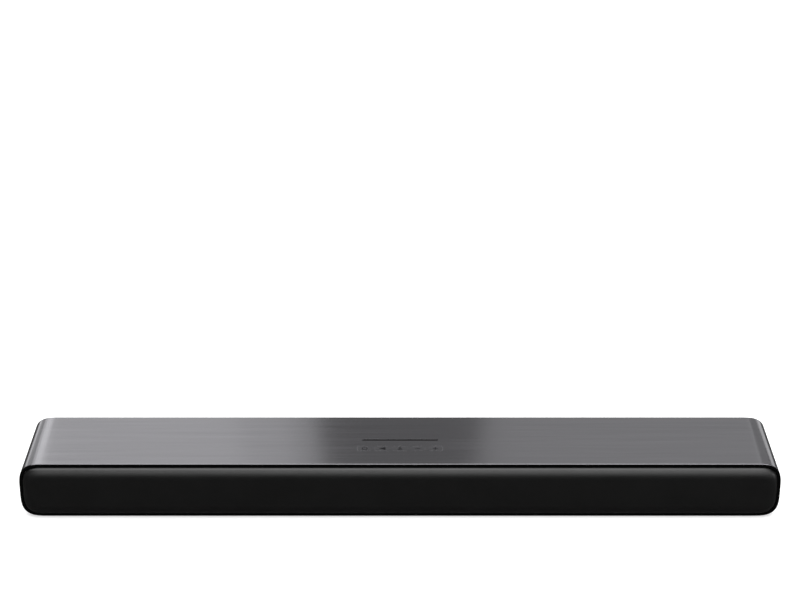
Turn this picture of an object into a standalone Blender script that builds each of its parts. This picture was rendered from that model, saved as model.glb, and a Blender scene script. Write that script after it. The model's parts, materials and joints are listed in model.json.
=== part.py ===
"""Soundbar: a long, low loudspeaker for under a television, as separate pieces.

Frame: +X runs along the bar to the listener's right, +Y runs from the grille to the back and +Z is up.
The origin is on the floor, under the middle of the bar's box.
All sizes are in metres; MM turns millimetres into metres.
"""

import math

import bmesh
import bpy
from mathutils import Matrix, Vector

MM = 0.001

# Driving dimensions of the whole bar.
BAR_WIDTH = 810 * MM
BAR_DEPTH = 112 * MM
BODY_HEIGHT = 63 * MM
FOOT_PROUD = 1.5 * MM
CORNER_RADIUS = 18.5 * MM
GRILLE_PROUD = 6 * MM
PILLOW_EDGE = 12 * MM
GAP = 0.3 * MM

# Walls.
COVER_WALL = 2 * MM
TRIM_DEPTH = 1 * MM
TRIM_WIDTH = 3.4 * MM
PANEL_WALL = 3 * MM
BAY_WALL = 1.5 * MM

# Planes that follow from them.
FRONT_Y = -BAR_DEPTH / 2
TRIM_Y = FRONT_Y + GRILLE_PROUD
REAR_Y = BAR_DEPTH / 2
BODY_Z = FOOT_PROUD
TOP_Z = BODY_Z + BODY_HEIGHT
MIDDLE_Z = (BODY_Z + TOP_Z) / 2
INNER_WIDTH = BAR_WIDTH - 2 * COVER_WALL
INNER_HEIGHT = BODY_HEIGHT - 2 * COVER_WALL
INNER_RADIUS = CORNER_RADIUS - COVER_WALL
UNDERSIDE_Z = TOP_Z - COVER_WALL
FLOOR_Z = BODY_Z + COVER_WALL
BAFFLE_Y = TRIM_Y + 5.3 * MM
PANEL_Y = REAR_Y - PANEL_WALL

# Keys and the marker line behind them.
KEY_NAMES = ("power", "source", "pairing", "volume_down", "volume_up")
KEY_PITCH = 19 * MM
KEY_WIDTH = 16 * MM
KEY_LENGTH = 10 * MM
KEY_RADIUS = 2 * MM
KEY_TRAVEL = 0.6 * MM
KEY_Y = TRIM_Y + 35 * MM
MARKER_LENGTH = 81 * MM
MARKER_WIDTH = 2.4 * MM
MARKER_Y = TRIM_Y + 54 * MM

# Loudspeaker drivers: each outline is a stadium of half-straight S and radius R, S = 0 being a circle.
DRIVER_X = 250 * MM
DRIVER_STRAIGHT = 22.5 * MM
CUTOUT_RADIUS = 17.3 * MM
FLANGE_RADIUS = 22 * MM
CONE_RADIUS = 10 * MM
CONE_TRAVEL = 2.5 * MM
COIL_RADIUS = 8.5 * MM
MAGNET_RADIUS = 16 * MM
DRIVER_SCREW_AT = (32.3 * MM, 17 * MM)
DRIVER_SCREW_RADIUS = 1.2 * MM

# Bass ports, dividing walls, screws and feet.
PORT_X = 345 * MM
PORT_RADIUS = 11 * MM
PORT_LENGTH = 55 * MM
WALL_X = 155 * MM
COVER_SCREW_X = 205 * MM
COVER_SCREW_FRONT_Y = BAFFLE_Y + 9 * MM
COVER_SCREW_REAR_Y = PANEL_Y - 6 * MM
LUG = 10 * MM
SCREW_RADIUS = 1.5 * MM
SCREW_HEAD_RADIUS = 2.9 * MM
FOOT_X = 300 * MM
FOOT_Y = 36 * MM
FOOT_SIZE = (46 * MM, 14 * MM)
FOOT_RECESS = 1 * MM

# Wall hanging: a keyhole takes a screw head below and its neck above.
KEYHOLE_X = 270 * MM
KEYHOLE_Z = 38 * MM
KEYHOLE_RADIUS = 4.8 * MM
KEYHOLE_NECK = 2.5 * MM
KEYHOLE_RISE = 9 * MM

# Recessed bays in the back and the sockets in them.
BAY_DEPTH = 18 * MM
BAY_BACK_Y = REAR_Y - BAY_DEPTH
BAY_LOW_Z = 8 * MM
BAY_HIGH_Z = 33 * MM
SOCKET_BAY = (-106 * MM, -12 * MM)
INLET_BAY = (55 * MM, 101 * MM)
BOARD_Z = 8.5 * MM
BOARD_WALL = 1.6 * MM
SOCKET_Z = BOARD_Z + BOARD_WALL + GAP
SOCKET_FACE_Y = BAY_BACK_Y - 0.5 * MM

ARC_STEPS = 8
OVAL_STEPS = 7
ROUND_STEPS = 20


# ---------------------------------------------------------------- scene and materials


def clear_scene():
    for obj in list(bpy.data.objects):
        bpy.data.objects.remove(obj)


def new_collection(name):
    collection = bpy.data.collections.new(name)
    bpy.context.scene.collection.children.link(collection)
    return collection


def new_material(name, colour, roughness, metallic=0.0):
    material = bpy.data.materials.new(name)
    material.use_nodes = True
    shader = material.node_tree.nodes["Principled BSDF"]
    shader.inputs["Base Color"].default_value = (*colour, 1.0)
    shader.inputs["Roughness"].default_value = roughness
    shader.inputs["Metallic"].default_value = metallic
    return material


clear_scene()
PARTS = new_collection("soundbar")
CUTTERS = new_collection("cutters")
MATERIALS = {
    "brushed_shell": new_material("brushed_shell", (0.16, 0.16, 0.17), 0.35, 0.9),
    "black_plastic": new_material("black_plastic", (0.012, 0.012, 0.013), 0.55),
    "gloss_trim": new_material("gloss_trim", (0.004, 0.004, 0.005), 0.12),
    "grille_cloth": new_material("grille_cloth", (0.02, 0.02, 0.021), 0.85),
    "foot_rubber": new_material("foot_rubber", (0.015, 0.015, 0.015), 0.8),
    "cone_paper": new_material("cone_paper", (0.03, 0.03, 0.032), 0.75),
    "surround_rubber": new_material("surround_rubber", (0.01, 0.01, 0.01), 0.6),
    "plated_steel": new_material("plated_steel", (0.55, 0.55, 0.56), 0.3, 1.0),
    "ferrite": new_material("ferrite", (0.05, 0.05, 0.055), 0.65),
    "circuit_board": new_material("circuit_board", (0.01, 0.09, 0.035), 0.45),
    "heat_sink": new_material("heat_sink", (0.6, 0.6, 0.62), 0.4, 1.0),
    "winding_tape": new_material("winding_tape", (0.75, 0.55, 0.08), 0.5),
    "wire_sleeve": new_material("wire_sleeve", (0.35, 0.02, 0.02), 0.5),
}


def add_object(name, mesh, slot, collection=None):
    obj = bpy.data.objects.new(name, mesh)
    (collection or PARTS).objects.link(obj)
    if slot:
        mesh.materials.append(MATERIALS[slot])
    return obj


def to_helper(obj):
    """Turns a piece into a helper of a Boolean, which stays out of the model."""
    for collection in list(obj.users_collection):
        collection.objects.unlink(obj)
    CUTTERS.objects.link(obj)
    obj.hide_render = True
    obj.display_type = "WIRE"
    return obj


def boolean(target, helpers, operation):
    for helper in helpers:
        modifier = target.modifiers.new(helper.name, "BOOLEAN")
        modifier.operation = operation
        modifier.object = to_helper(helper)
    return target


def cut(target, *helpers):
    return boolean(target, helpers, "DIFFERENCE")


def join(target, *helpers):
    return boolean(target, helpers, "UNION")


# ---------------------------------------------------------------- outlines


def arc(centre, radius, start, end, steps):
    """Points of an arc from angle start to end, both included, in degrees."""
    angles = [math.radians(start + (end - start) * i / steps) for i in range(steps + 1)]
    return [(centre[0] + radius * math.cos(a), centre[1] + radius * math.sin(a)) for a in angles]


def rounded_rectangle(width, height, radius, centre=(0.0, 0.0), steps=ARC_STEPS):
    corners = ((1, 1, 0), (-1, 1, 90), (-1, -1, 180), (1, -1, 270))
    points = []
    for side_x, side_y, start in corners:
        corner = (
            centre[0] + side_x * (width / 2 - radius),
            centre[1] + side_y * (height / 2 - radius),
        )
        points += arc(corner, radius, start, start + 90, steps)
    return points


def stadium(straight, radius, centre=(0.0, 0.0), steps=OVAL_STEPS):
    """Two half circles of this radius, their centres 2 * straight apart along the first axis."""
    right = arc((centre[0] + straight, centre[1]), radius, -90, 90, steps)
    left = arc((centre[0] - straight, centre[1]), radius, 90, 270, steps)
    return right + left


def circle(radius, centre=(0.0, 0.0), steps=ROUND_STEPS):
    return arc(centre, radius, 0, 360, steps)[:-1]


def rectangle(low_x, high_x, low_y, high_y):
    return [(low_x, low_y), (high_x, low_y), (high_x, high_y), (low_x, high_y)]


# ---------------------------------------------------------------- solids


TURNS = {
    "X": Matrix(((0, 0, 1), (1, 0, 0), (0, 1, 0))),
    "Y": Matrix(((1, 0, 0), (0, 0, -1), (0, 1, 0))),
    "Z": Matrix.Identity(3),
}


def plate(name, outlines, low, high, normal, slot):
    """A flat solid between two planes across an axis; outlines after the first are cut out of it."""
    curve = bpy.data.curves.new(name, "CURVE")
    curve.dimensions = "2D"
    curve.fill_mode = "BOTH"
    curve.extrude = (high - low) / 2
    spline = curve.splines.new("POLY")
    spline.points.add(len(outlines[0]) - 1)
    for point, (x, y) in zip(spline.points, outlines[0]):
        point.co = (x, y, 0, 1)
    spline.use_cyclic_u = True
    helper = bpy.data.objects.new(name + "_outline", curve)
    helper.matrix_world = TURNS[normal].to_4x4()
    PARTS.objects.link(helper)
    bpy.context.view_layer.update()
    graph = bpy.context.evaluated_depsgraph_get()
    mesh = bpy.data.meshes.new_from_object(helper.evaluated_get(graph))
    place = helper.matrix_world.copy()
    bpy.data.objects.remove(helper)
    weld(mesh)
    place.translation["XYZ".index(normal)] = (low + high) / 2
    obj = add_object(name, mesh, slot)
    obj.matrix_world = place
    holes = [
        plate(f"{name}_hole_{i}", [outline], low - MM, high + MM, normal, None)
        for i, outline in enumerate(outlines[1:])
    ]
    return cut(obj, *holes)


def weld(mesh, distance=0.001 * MM):
    work = bmesh.new()
    work.from_mesh(mesh)
    bmesh.ops.remove_doubles(work, verts=work.verts, dist=distance)
    bmesh.ops.recalc_face_normals(work, faces=work.faces)
    work.to_mesh(mesh)
    work.free()


def box(name, low, high, slot):
    low, high = Vector(low), Vector(high)
    work = bmesh.new()
    bmesh.ops.create_cube(work, size=1.0)
    bmesh.ops.scale(work, vec=high - low, verts=work.verts)
    mesh = bpy.data.meshes.new(name)
    work.to_mesh(mesh)
    work.free()
    obj = add_object(name, mesh, slot)
    obj.location = (low + high) / 2
    return obj


def cylinder(name, radius, low, high, centre, normal, slot, steps=16):
    """A cylinder between two planes across an axis; centre is its place in a plate's own plane."""
    work = bmesh.new()
    bmesh.ops.create_cone(
        work, cap_ends=True, segments=steps, radius1=radius, radius2=radius, depth=high - low
    )
    mesh = bpy.data.meshes.new(name)
    work.to_mesh(mesh)
    work.free()
    obj = add_object(name, mesh, slot)
    turn = TURNS[normal]
    place = turn.to_4x4()
    place.translation = turn @ Vector((*centre, 0))
    place.translation["XYZ".index(normal)] = (low + high) / 2
    obj.matrix_world = place
    return obj


def turned(name, profile, location, slot, steps=ROUND_STEPS, closed=False):
    """A solid turned about a line along Y. The profile is (radius, Y), from the back to the front outside."""
    mesh = bpy.data.meshes.new(name)
    edges = [(i, i + 1) for i in range(len(profile) - 1)]
    if closed:
        edges.append((len(profile) - 1, 0))
    mesh.from_pydata([(radius, 0, along) for radius, along in profile], edges, [])
    obj = add_object(name, mesh, slot)
    obj.location = location
    obj.rotation_euler = (-math.pi / 2, 0, 0)
    screw = obj.modifiers.new("turn", "SCREW")
    screw.steps = screw.render_steps = steps
    screw.use_merge_vertices = True
    screw.merge_threshold = 0.01 * MM
    screw.use_smooth_shade = True
    return obj


def lofted(name, loops, slot, ring=False):
    """A surface through loops of equal count: closed on itself as a ring, or open at the first loop."""
    work = bmesh.new()
    rows = [[work.verts.new(point) for point in loop] for loop in loops]
    count = len(rows[0])
    pairs = list(zip(rows, rows[1:]))
    if ring:
        pairs.append((rows[-1], rows[0]))
    for first, second in pairs:
        for i in range(count):
            j = (i + 1) % count
            work.faces.new((first[i], first[j], second[j], second[i]))
    if not ring:
        work.faces.new(rows[-1])
    bmesh.ops.recalc_face_normals(work, faces=work.faces)
    mesh = bpy.data.meshes.new(name)
    work.to_mesh(mesh)
    work.free()
    obj = add_object(name, mesh, slot)
    mesh.shade_smooth()
    mesh.set_sharp_from_angle(angle=math.radians(35))
    return obj


def oval_ring(name, sections, location, slot):
    """A closed ring about a line along Y, whose wall passes through sections of (straight, radius, Y)."""
    loops = []
    for straight, radius, along in sections:
        loops.append([(x, along, z) for x, z in stadium(straight, radius)])
    ring = lofted(name, loops, slot, ring=True)
    ring.location = location
    return ring


def axis_of(x):
    """The origin of a driver or a port, on the line along Y through its middle."""
    return (x, 0, MIDDLE_Z)


# ---------------------------------------------------------------- casing


def make_top_cover():
    """The brushed wrap: top, ends and lower corners in one bent sheet, open below and at both faces."""
    half, radius = BAR_WIDTH / 2, CORNER_RADIUS
    low, high = BODY_Z + radius, TOP_Z - radius
    outline = arc((-half + radius, low), radius, 270, 180, ARC_STEPS)
    outline += arc((-half + radius, high), radius, 180, 90, ARC_STEPS)
    outline += arc((half - radius, high), radius, 90, 0, ARC_STEPS)
    outline += arc((half - radius, low), radius, 0, -90, ARC_STEPS)
    front, back = TRIM_Y + TRIM_DEPTH, REAR_Y
    work = bmesh.new()
    row = [work.verts.new((x, front, z)) for x, z in outline]
    edges = [work.edges.new(pair) for pair in zip(row, row[1:])]
    swept = bmesh.ops.extrude_edge_only(work, edges=edges)["geom"]
    moved = [item for item in swept if isinstance(item, bmesh.types.BMVert)]
    bmesh.ops.translate(work, vec=(0, back - front, 0), verts=moved)
    mesh = bpy.data.meshes.new("top_cover")
    work.to_mesh(mesh)
    work.free()
    cover = add_object("top_cover", mesh, "brushed_shell")
    sheet = cover.modifiers.new("sheet", "SOLIDIFY")
    sheet.thickness = COVER_WALL
    sheet.offset = 1
    sheet.use_even_offset = True
    mesh.shade_smooth()
    windows = []
    for name, x in key_places():
        window = rounded_rectangle(
            KEY_WIDTH + 2 * GAP, KEY_LENGTH + 2 * GAP, KEY_RADIUS + GAP, (x, KEY_Y), 4
        )
        windows.append(
            plate("window_" + name, [window], UNDERSIDE_Z - MM, TOP_Z + MM, "Z", None)
        )
    slit = stadium(MARKER_LENGTH / 2, MARKER_WIDTH / 2 + GAP, (0, MARKER_Y), 4)
    windows.append(plate("marker_slit", [slit], UNDERSIDE_Z - MM, TOP_Z + MM, "Z", None))
    return cut(cover, *windows)


def make_bottom_cover():
    """The flat plate that closes the wrap from below, with screw holes and foot recesses."""
    half = BAR_WIDTH / 2 - CORNER_RADIUS - GAP
    holes = [circle(SCREW_RADIUS + GAP, place, 12) for place in cover_screw_places()]
    front, back = TRIM_Y + TRIM_DEPTH, REAR_Y
    outline = rectangle(-half, half, front, back)
    cover = plate("bottom_cover", [outline] + holes, BODY_Z, FLOOR_Z, "Z", "black_plastic")
    recesses = []
    for name, x, y in foot_places():
        pocket = rounded_rectangle(
            FOOT_SIZE[0] + 2 * GAP, FOOT_SIZE[1] + 2 * GAP, FOOT_SIZE[1] / 2, (x, y), 4
        )
        recesses.append(
            plate("recess_" + name, [pocket], BODY_Z - MM, BODY_Z + FOOT_RECESS, "Z", None)
        )
    for i, place in enumerate(cover_screw_places()):
        recesses.append(
            cylinder(
                f"head_recess_{i}", SCREW_HEAD_RADIUS + GAP, BODY_Z - MM, BODY_Z + MM, place, "Z", None
            )
        )
    return cut(cover, *recesses)


def inner_outline(inset):
    """The outline of a panel that fits inside the wrap, this far from its walls."""
    return rounded_rectangle(
        INNER_WIDTH - 2 * inset, INNER_HEIGHT - 2 * inset, INNER_RADIUS - inset, (0, MIDDLE_Z)
    )


def keyhole(x):
    """Outline of a hanging slot: a round entry below, a narrow neck with a round end above."""
    spread = math.degrees(math.asin(KEYHOLE_NECK / KEYHOLE_RADIUS))
    entry = arc((x, KEYHOLE_Z), KEYHOLE_RADIUS, 90 + spread, 450 - spread, 14)
    neck = arc((x, KEYHOLE_Z + KEYHOLE_RISE), KEYHOLE_NECK, 0, 180, 6)
    return entry + neck


def bay(name, sides, holes):
    """A pocket open to the back: four walls and a back wall, which holds the sockets' holes."""
    low, high = sides
    inner = rectangle(low, high, BAY_LOW_Z, BAY_HIGH_Z)
    wall = BAY_WALL
    outer = rectangle(low - wall, high + wall, BAY_LOW_Z - wall, BAY_HIGH_Z + wall)
    walls = plate(
        name + "_walls", [outer, inner], BAY_BACK_Y - wall, REAR_Y - MM, "Y", None
    )
    back = plate(
        name + "_back",
        [rectangle(low - MM, high + MM, BAY_LOW_Z - MM, BAY_HIGH_Z + MM)] + holes,
        BAY_BACK_Y - wall + GAP,
        BAY_BACK_Y,
        "Y",
        None,
    )
    return walls, back


def lug(name, place, low_y, high_y):
    """A block that takes a cover screw, with its hole."""
    x = place[0]
    outline = rectangle(x - LUG / 2, x + LUG / 2, low_y, high_y)
    hole = circle(SCREW_RADIUS + GAP, place, 12)
    base = FLOOR_Z + 2 * GAP
    return plate(name, [outline, hole], base, base + LUG, "Z", None)


def make_rear_panel():
    socket_side, inlet_side = SOCKET_BAY, INLET_BAY
    step = 0.5 * MM
    windows = [
        rectangle(low - step, high + step, BAY_LOW_Z - step, BAY_HIGH_Z + step)
        for low, high in (socket_side, inlet_side)
    ]
    hangers = [keyhole(x) for x in (-KEYHOLE_X, KEYHOLE_X)]
    mouths = [circle(PORT_RADIUS, (x, MIDDLE_Z)) for x in (-PORT_X, PORT_X)]
    panel = plate(
        "rear_panel",
        [inner_outline(GAP)] + windows + hangers + mouths,
        PANEL_Y,
        REAR_Y,
        "Y",
        "black_plastic",
    )
    pieces = list(bay("socket_bay", socket_side, socket_holes()))
    pieces += bay("inlet_bay", inlet_side, [inlet_hole()])
    for i, place in enumerate(p for p in cover_screw_places() if p[1] > 0):
        pieces.append(lug(f"rear_lug_{i}", place, place[1] - LUG / 2, PANEL_Y + MM))
    return join(panel, *pieces)


def make_front_baffle():
    cutouts = [
        stadium(DRIVER_STRAIGHT, CUTOUT_RADIUS, (x, MIDDLE_Z)) for x in (-DRIVER_X, DRIVER_X)
    ]
    cable_hole = rounded_rectangle(12 * MM, 6 * MM, 2 * MM, (0, MIDDLE_Z), 2)
    pilots = [
        circle(DRIVER_SCREW_RADIUS + GAP, (x + dx, MIDDLE_Z + dz), 8)
        for x in (-DRIVER_X, DRIVER_X)
        for dx, dz in driver_screw_offsets()
    ]
    baffle = plate(
        "front_baffle",
        [inner_outline(GAP)] + cutouts + [cable_hole] + pilots,
        BAFFLE_Y,
        BAFFLE_Y + PANEL_WALL,
        "Y",
        "black_plastic",
    )
    lugs = []
    for i, place in enumerate(p for p in cover_screw_places() if p[1] < 0):
        lugs.append(lug(f"front_lug_{i}", place, BAFFLE_Y + MM, place[1] + LUG / 2))
    return join(baffle, *lugs)


def bar_outline(inset, steps=ARC_STEPS):
    """The bar's front outline, moved in by this much all round."""
    return rounded_rectangle(
        BAR_WIDTH - 2 * inset, BODY_HEIGHT - 2 * inset, CORNER_RADIUS - inset, (0, MIDDLE_Z), steps
    )


def make_trim_frame():
    """The black frame round the grille: a face ring, and a skirt that locates it in the wrap."""
    face = [bar_outline(0), bar_outline(TRIM_WIDTH)]
    frame = plate("trim_frame", face, TRIM_Y, TRIM_Y + TRIM_DEPTH - GAP, "Y", "gloss_trim")
    skirt = [inner_outline(GAP), bar_outline(TRIM_WIDTH - 0.1 * MM)]
    return join(
        frame, plate("skirt", skirt, TRIM_Y + 0.3 * MM, BAFFLE_Y - GAP, "Y", None)
    )


def pillow_shell(name, inset, back, front, wall, slot, steps):
    """A hollow, cushion-shaped panel, open at its back.

    Its sheet runs straight from the back, then along a quarter ellipse to the flat face.
    """
    start = TRIM_Y + TRIM_DEPTH
    loops = [[(x, back, z) for x, z in bar_outline(inset)]]
    for i in range(steps + 1):
        turn = math.radians(90 * i / steps)
        step_in = inset + PILLOW_EDGE * (1 - math.cos(turn))
        along = start + (front - start) * math.sin(turn)
        loops.append([(x, along, z) for x, z in bar_outline(step_in)])
    shell = lofted(name, loops, slot)
    sheet = shell.modifiers.new("sheet", "SOLIDIFY")
    sheet.thickness = wall
    sheet.offset = -1
    sheet.use_even_offset = True
    return shell


def make_grille():
    """The cloth cover and the moulded frame that holds it, both cushion-shaped."""
    inset, cloth, moulding = TRIM_WIDTH + GAP, 0.7 * MM, 2 * MM
    pillow_shell("grille_cloth", inset, TRIM_Y + 3 * MM, FRONT_Y, cloth, "grille_cloth", 5)
    frame = pillow_shell(
        "grille_frame",
        inset + cloth + GAP,
        BAFFLE_Y - GAP,
        FRONT_Y + cloth + GAP,
        moulding,
        "black_plastic",
        3,
    )
    windows = []
    count, pitch = 10, 77 * MM
    for i in range(count):
        x = (i - (count - 1) / 2) * pitch
        outline = rounded_rectangle(pitch - 8 * MM, 38 * MM, 5 * MM, (x, MIDDLE_Z), 2)
        windows.append(
            plate(f"frame_window_{i}", [outline], FRONT_Y - MM, TRIM_Y + 4 * MM, "Y", None)
        )
    return cut(frame, *windows)


def foot_places():
    for side_y, y in (("front", -FOOT_Y), ("rear", FOOT_Y)):
        for side_x, x in (("left", -FOOT_X), ("right", FOOT_X)):
            yield f"foot_{side_y}_{side_x}", x, y


def make_feet():
    for name, x, y in foot_places():
        outline = rounded_rectangle(*FOOT_SIZE, FOOT_SIZE[1] / 2 - GAP, (x, y), 5)
        plate(name, [outline], 0, BODY_Z + FOOT_RECESS - GAP, "Z", "foot_rubber")


def cover_screw_places():
    return [
        (x, y)
        for y in (COVER_SCREW_FRONT_Y, COVER_SCREW_REAR_Y)
        for x in (-COVER_SCREW_X, COVER_SCREW_X)
    ]


def screw_solid(name, radius, shank, head_radius, head):
    """A pan-head screw along its own Z, its head's flat underside at the origin and the shank rising."""
    profile = [(0, shank), (radius, shank), (radius, 0), (head_radius, 0)]
    profile += [(head_radius, -head * 0.6), (head_radius * 0.75, -head), (0, -head)]
    mesh = bpy.data.meshes.new(name)
    mesh.from_pydata(
        [(r, 0, z) for r, z in profile], [(i, i + 1) for i in range(len(profile) - 1)], []
    )
    obj = add_object(name, mesh, "plated_steel")
    screw = obj.modifiers.new("turn", "SCREW")
    screw.steps = screw.render_steps = 10
    screw.use_merge_vertices = True
    screw.merge_threshold = 0.01 * MM
    return obj


def make_cover_screws():
    names = ("front_left", "front_right", "rear_left", "rear_right")
    for name, (x, y) in zip(names, cover_screw_places()):
        screw = screw_solid("cover_screw_" + name, SCREW_RADIUS, 9 * MM, SCREW_HEAD_RADIUS, 0.7 * MM)
        screw.location = (x, y, BODY_Z + MM - GAP)


# ---------------------------------------------------------------- keys


def key_places():
    middle = (len(KEY_NAMES) - 1) / 2
    return [(name, (i - middle) * KEY_PITCH) for i, name in enumerate(KEY_NAMES)]


KEY_FLANGE_Z = UNDERSIDE_Z - GAP
KEY_FLANGE = 1 * MM
GUIDE_TOP_Z = KEY_FLANGE_Z - KEY_FLANGE - KEY_TRAVEL - GAP
GUIDE_WALL = 1.5 * MM
STEM_LOW_Z = KEY_FLANGE_Z - 7 * MM
STEM = 4 * MM
SWITCH_TOP_Z = STEM_LOW_Z - KEY_TRAVEL - GAP
KEY_BOARD_Z = SWITCH_TOP_Z - 3.4 * MM
GUIDE_HALF = 53 * MM


def key_plate(name, size, radius, low, high, x, slot=None):
    """A flat, round-cornered layer of a key, its origin on the key's own line of travel."""
    layer = plate(name, [rounded_rectangle(*size, radius, steps=3)], low, high, "Z", slot)
    layer.location.xy = (x, KEY_Y)
    return layer


def make_keys():
    """Each key is a cap flush with the top, a flange that stops it falling out, and a stem."""
    cap, lip = (KEY_WIDTH, KEY_LENGTH), 1.2 * MM
    flange = (KEY_WIDTH + lip, KEY_LENGTH + 2 * lip)
    flange_low = KEY_FLANGE_Z - KEY_FLANGE
    overlap = KEY_FLANGE / 2
    for name, x in key_places():
        node = "key_" + name
        key = key_plate(node, cap, KEY_RADIUS, flange_low + overlap, TOP_Z, x, "brushed_shell")
        collar = key_plate(node + "_flange", flange, KEY_RADIUS, flange_low, KEY_FLANGE_Z, x)
        stem_size = (STEM, STEM)
        stem = key_plate(
            node + "_stem", stem_size, STEM / 8, STEM_LOW_Z, flange_low + overlap / 2, x
        )
        join(key, collar, stem)


def make_key_guide():
    """A plate with a hole for each stem, hung from the wrap, with legs that carry the key board."""
    holes = [
        rounded_rectangle(STEM + 2 * GAP, STEM + 2 * GAP, STEM / 8, (x, KEY_Y), 2)
        for _, x in key_places()
    ]
    half_length = 9 * MM
    outline = rectangle(-GUIDE_HALF, GUIDE_HALF, KEY_Y - half_length, KEY_Y + half_length)
    guide = plate(
        "key_guide", [outline] + holes, GUIDE_TOP_Z - GUIDE_WALL, GUIDE_TOP_Z, "Z", "black_plastic"
    )
    step = 0.5 * MM
    low = KEY_BOARD_Z - GAP - GUIDE_WALL
    front, back = KEY_Y - half_length + step, KEY_Y + half_length - step
    legs = []
    for side in (-1, 1):
        outer, inner = sorted((side * (GUIDE_HALF + step), side * (GUIDE_HALF - 3 * step)))
        legs.append(box(f"leg_{side}", (outer, front, low), (inner, back, UNDERSIDE_Z - GAP), None))
        outer, inner = sorted((side * GUIDE_HALF, side * (GUIDE_HALF - 4 * MM)))
        legs.append(
            box(
                f"ledge_{side}",
                (outer, front + step, low + step),
                (inner, back - step, KEY_BOARD_Z - GAP),
                None,
            )
        )
    return join(guide, *legs)


def make_key_board():
    half = GUIDE_HALF - 2.6 * MM
    outline = rectangle(-half, half, KEY_Y - 7 * MM, KEY_Y + 7 * MM)
    top = KEY_BOARD_Z + BOARD_WALL
    board = plate("key_board", [outline], KEY_BOARD_Z, top, "Z", "circuit_board")
    parts = []
    side = 3 * MM
    for name, x in key_places():
        parts.append(
            box(
                "switch_" + name,
                (x - side, KEY_Y - side, top - 0.2 * MM),
                (x + side, KEY_Y + side, SWITCH_TOP_Z - 0.6 * MM),
                None,
            )
        )
        parts.append(
            cylinder("plunger_" + name, 1.7 * MM, top, SWITCH_TOP_Z, (x, KEY_Y), "Z", None, 12)
        )
    return join(board, *parts)


def make_marker_strip():
    """The thin dark line behind the keys, set in its slit from below and held by a wider foot."""
    low = UNDERSIDE_Z - GAP - MM
    half, radius, place = MARKER_LENGTH / 2, MARKER_WIDTH / 2, (0, MARKER_Y)
    line = stadium(half, radius, place, 5)
    foot = stadium(half, radius + MM, place, 5)
    strip = plate(
        "key_marker_strip", [line], low + MM / 2, TOP_Z - 0.2 * MM, "Z", "gloss_trim"
    )
    return join(strip, plate("marker_foot", [foot], low, low + MM, "Z", None))


# ---------------------------------------------------------------- loudspeaker drivers


FLANGE_BACK_Y = BAFFLE_Y - GAP
FLANGE_FRONT_Y = FLANGE_BACK_Y - 2 * MM
BOWL_BACK_Y = BAFFLE_Y + 16.5 * MM
YOKE_FRONT_Y = BOWL_BACK_Y + GAP
MAGNET_HEIGHT = 10 * MM
YOKE_PLATE = 3 * MM


def make_basket(name, x):
    """The stamped frame: a stadium flange in front of the baffle and a bowl behind it."""
    s, wall = DRIVER_STRAIGHT, 1.5 * MM
    sections = [
        (s + 1.5 * MM, FLANGE_RADIUS, FLANGE_FRONT_Y),
        (s + 1.5 * MM, FLANGE_RADIUS, FLANGE_BACK_Y),
        (s, CUTOUT_RADIUS - 0.5 * MM, FLANGE_BACK_Y),
        (s, CUTOUT_RADIUS - 0.5 * MM, BAFFLE_Y + 3 * MM),
        (0, MAGNET_RADIUS, BOWL_BACK_Y - wall),
        (0, MAGNET_RADIUS, BOWL_BACK_Y),
        (0, COIL_RADIUS + 2 * MM, BOWL_BACK_Y),
        (0, COIL_RADIUS + 2 * MM, BOWL_BACK_Y - wall),
        (0, MAGNET_RADIUS - wall, BOWL_BACK_Y - wall),
        (s, CUTOUT_RADIUS - 0.5 * MM - wall, BAFFLE_Y + 3 * MM - wall),
        (s, CUTOUT_RADIUS - 0.5 * MM - wall, FLANGE_FRONT_Y),
    ]
    basket = oval_ring(name + "_basket", sections, axis_of(x), "plated_steel")
    cutters = []
    vent = 6 * MM
    for side in (-1, 1):
        reach = sorted((side * 10 * MM, side * 40 * MM))
        cutters.append(
            box(
                f"{name}_vent_{side}",
                (x + reach[0], BAFFLE_Y + 5.5 * MM, MIDDLE_Z - vent),
                (x + reach[1], BOWL_BACK_Y - 4 * MM, MIDDLE_Z + vent),
                None,
            )
        )
    for i, (dx, dz) in enumerate(driver_screw_offsets()):
        cutters.append(
            cylinder(
                f"{name}_screw_hole_{i}",
                DRIVER_SCREW_RADIUS + GAP,
                FLANGE_FRONT_Y - MM,
                FLANGE_BACK_Y + 0.2 * MM,
                (x + dx, MIDDLE_Z + dz),
                "Y",
                None,
                8,
            )
        )
    return cut(basket, *cutters)


def driver_screw_offsets():
    dx, dz = DRIVER_SCREW_AT
    return [(i * dx, j * dz) for i in (-1, 1) for j in (-1, 1)]


def make_surround(name, x):
    """The rubber roll between the cone's edge and the flange: a half circle of even thickness."""
    outer_lip = CUTOUT_RADIUS - 0.4 * MM
    roll_out, roll_in = 15.2 * MM, CONE_RADIUS + 0.6 * MM
    middle, reach = (roll_out + roll_in) / 2, (roll_out - roll_in) / 2
    wall = 0.5 * MM
    base = FLANGE_FRONT_Y - GAP
    steps = 4
    front = [(outer_lip, base - wall)]
    back = [(outer_lip, base)]
    for i in range(steps + 1):
        turn = math.radians(180 * i / steps)
        front.append((middle + reach * math.cos(turn), base - wall - reach * math.sin(turn)))
        thin = reach - wall
        back.append((middle + thin * math.cos(turn), base - thin * math.sin(turn)))
    front.append((CONE_RADIUS - 1.2 * MM, base - wall))
    back.append((CONE_RADIUS - 1.2 * MM, base))
    sections = [(DRIVER_STRAIGHT, r, y) for r, y in front + back[::-1]]
    return oval_ring(name + "_surround", sections, axis_of(x), "surround_rubber")


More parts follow.
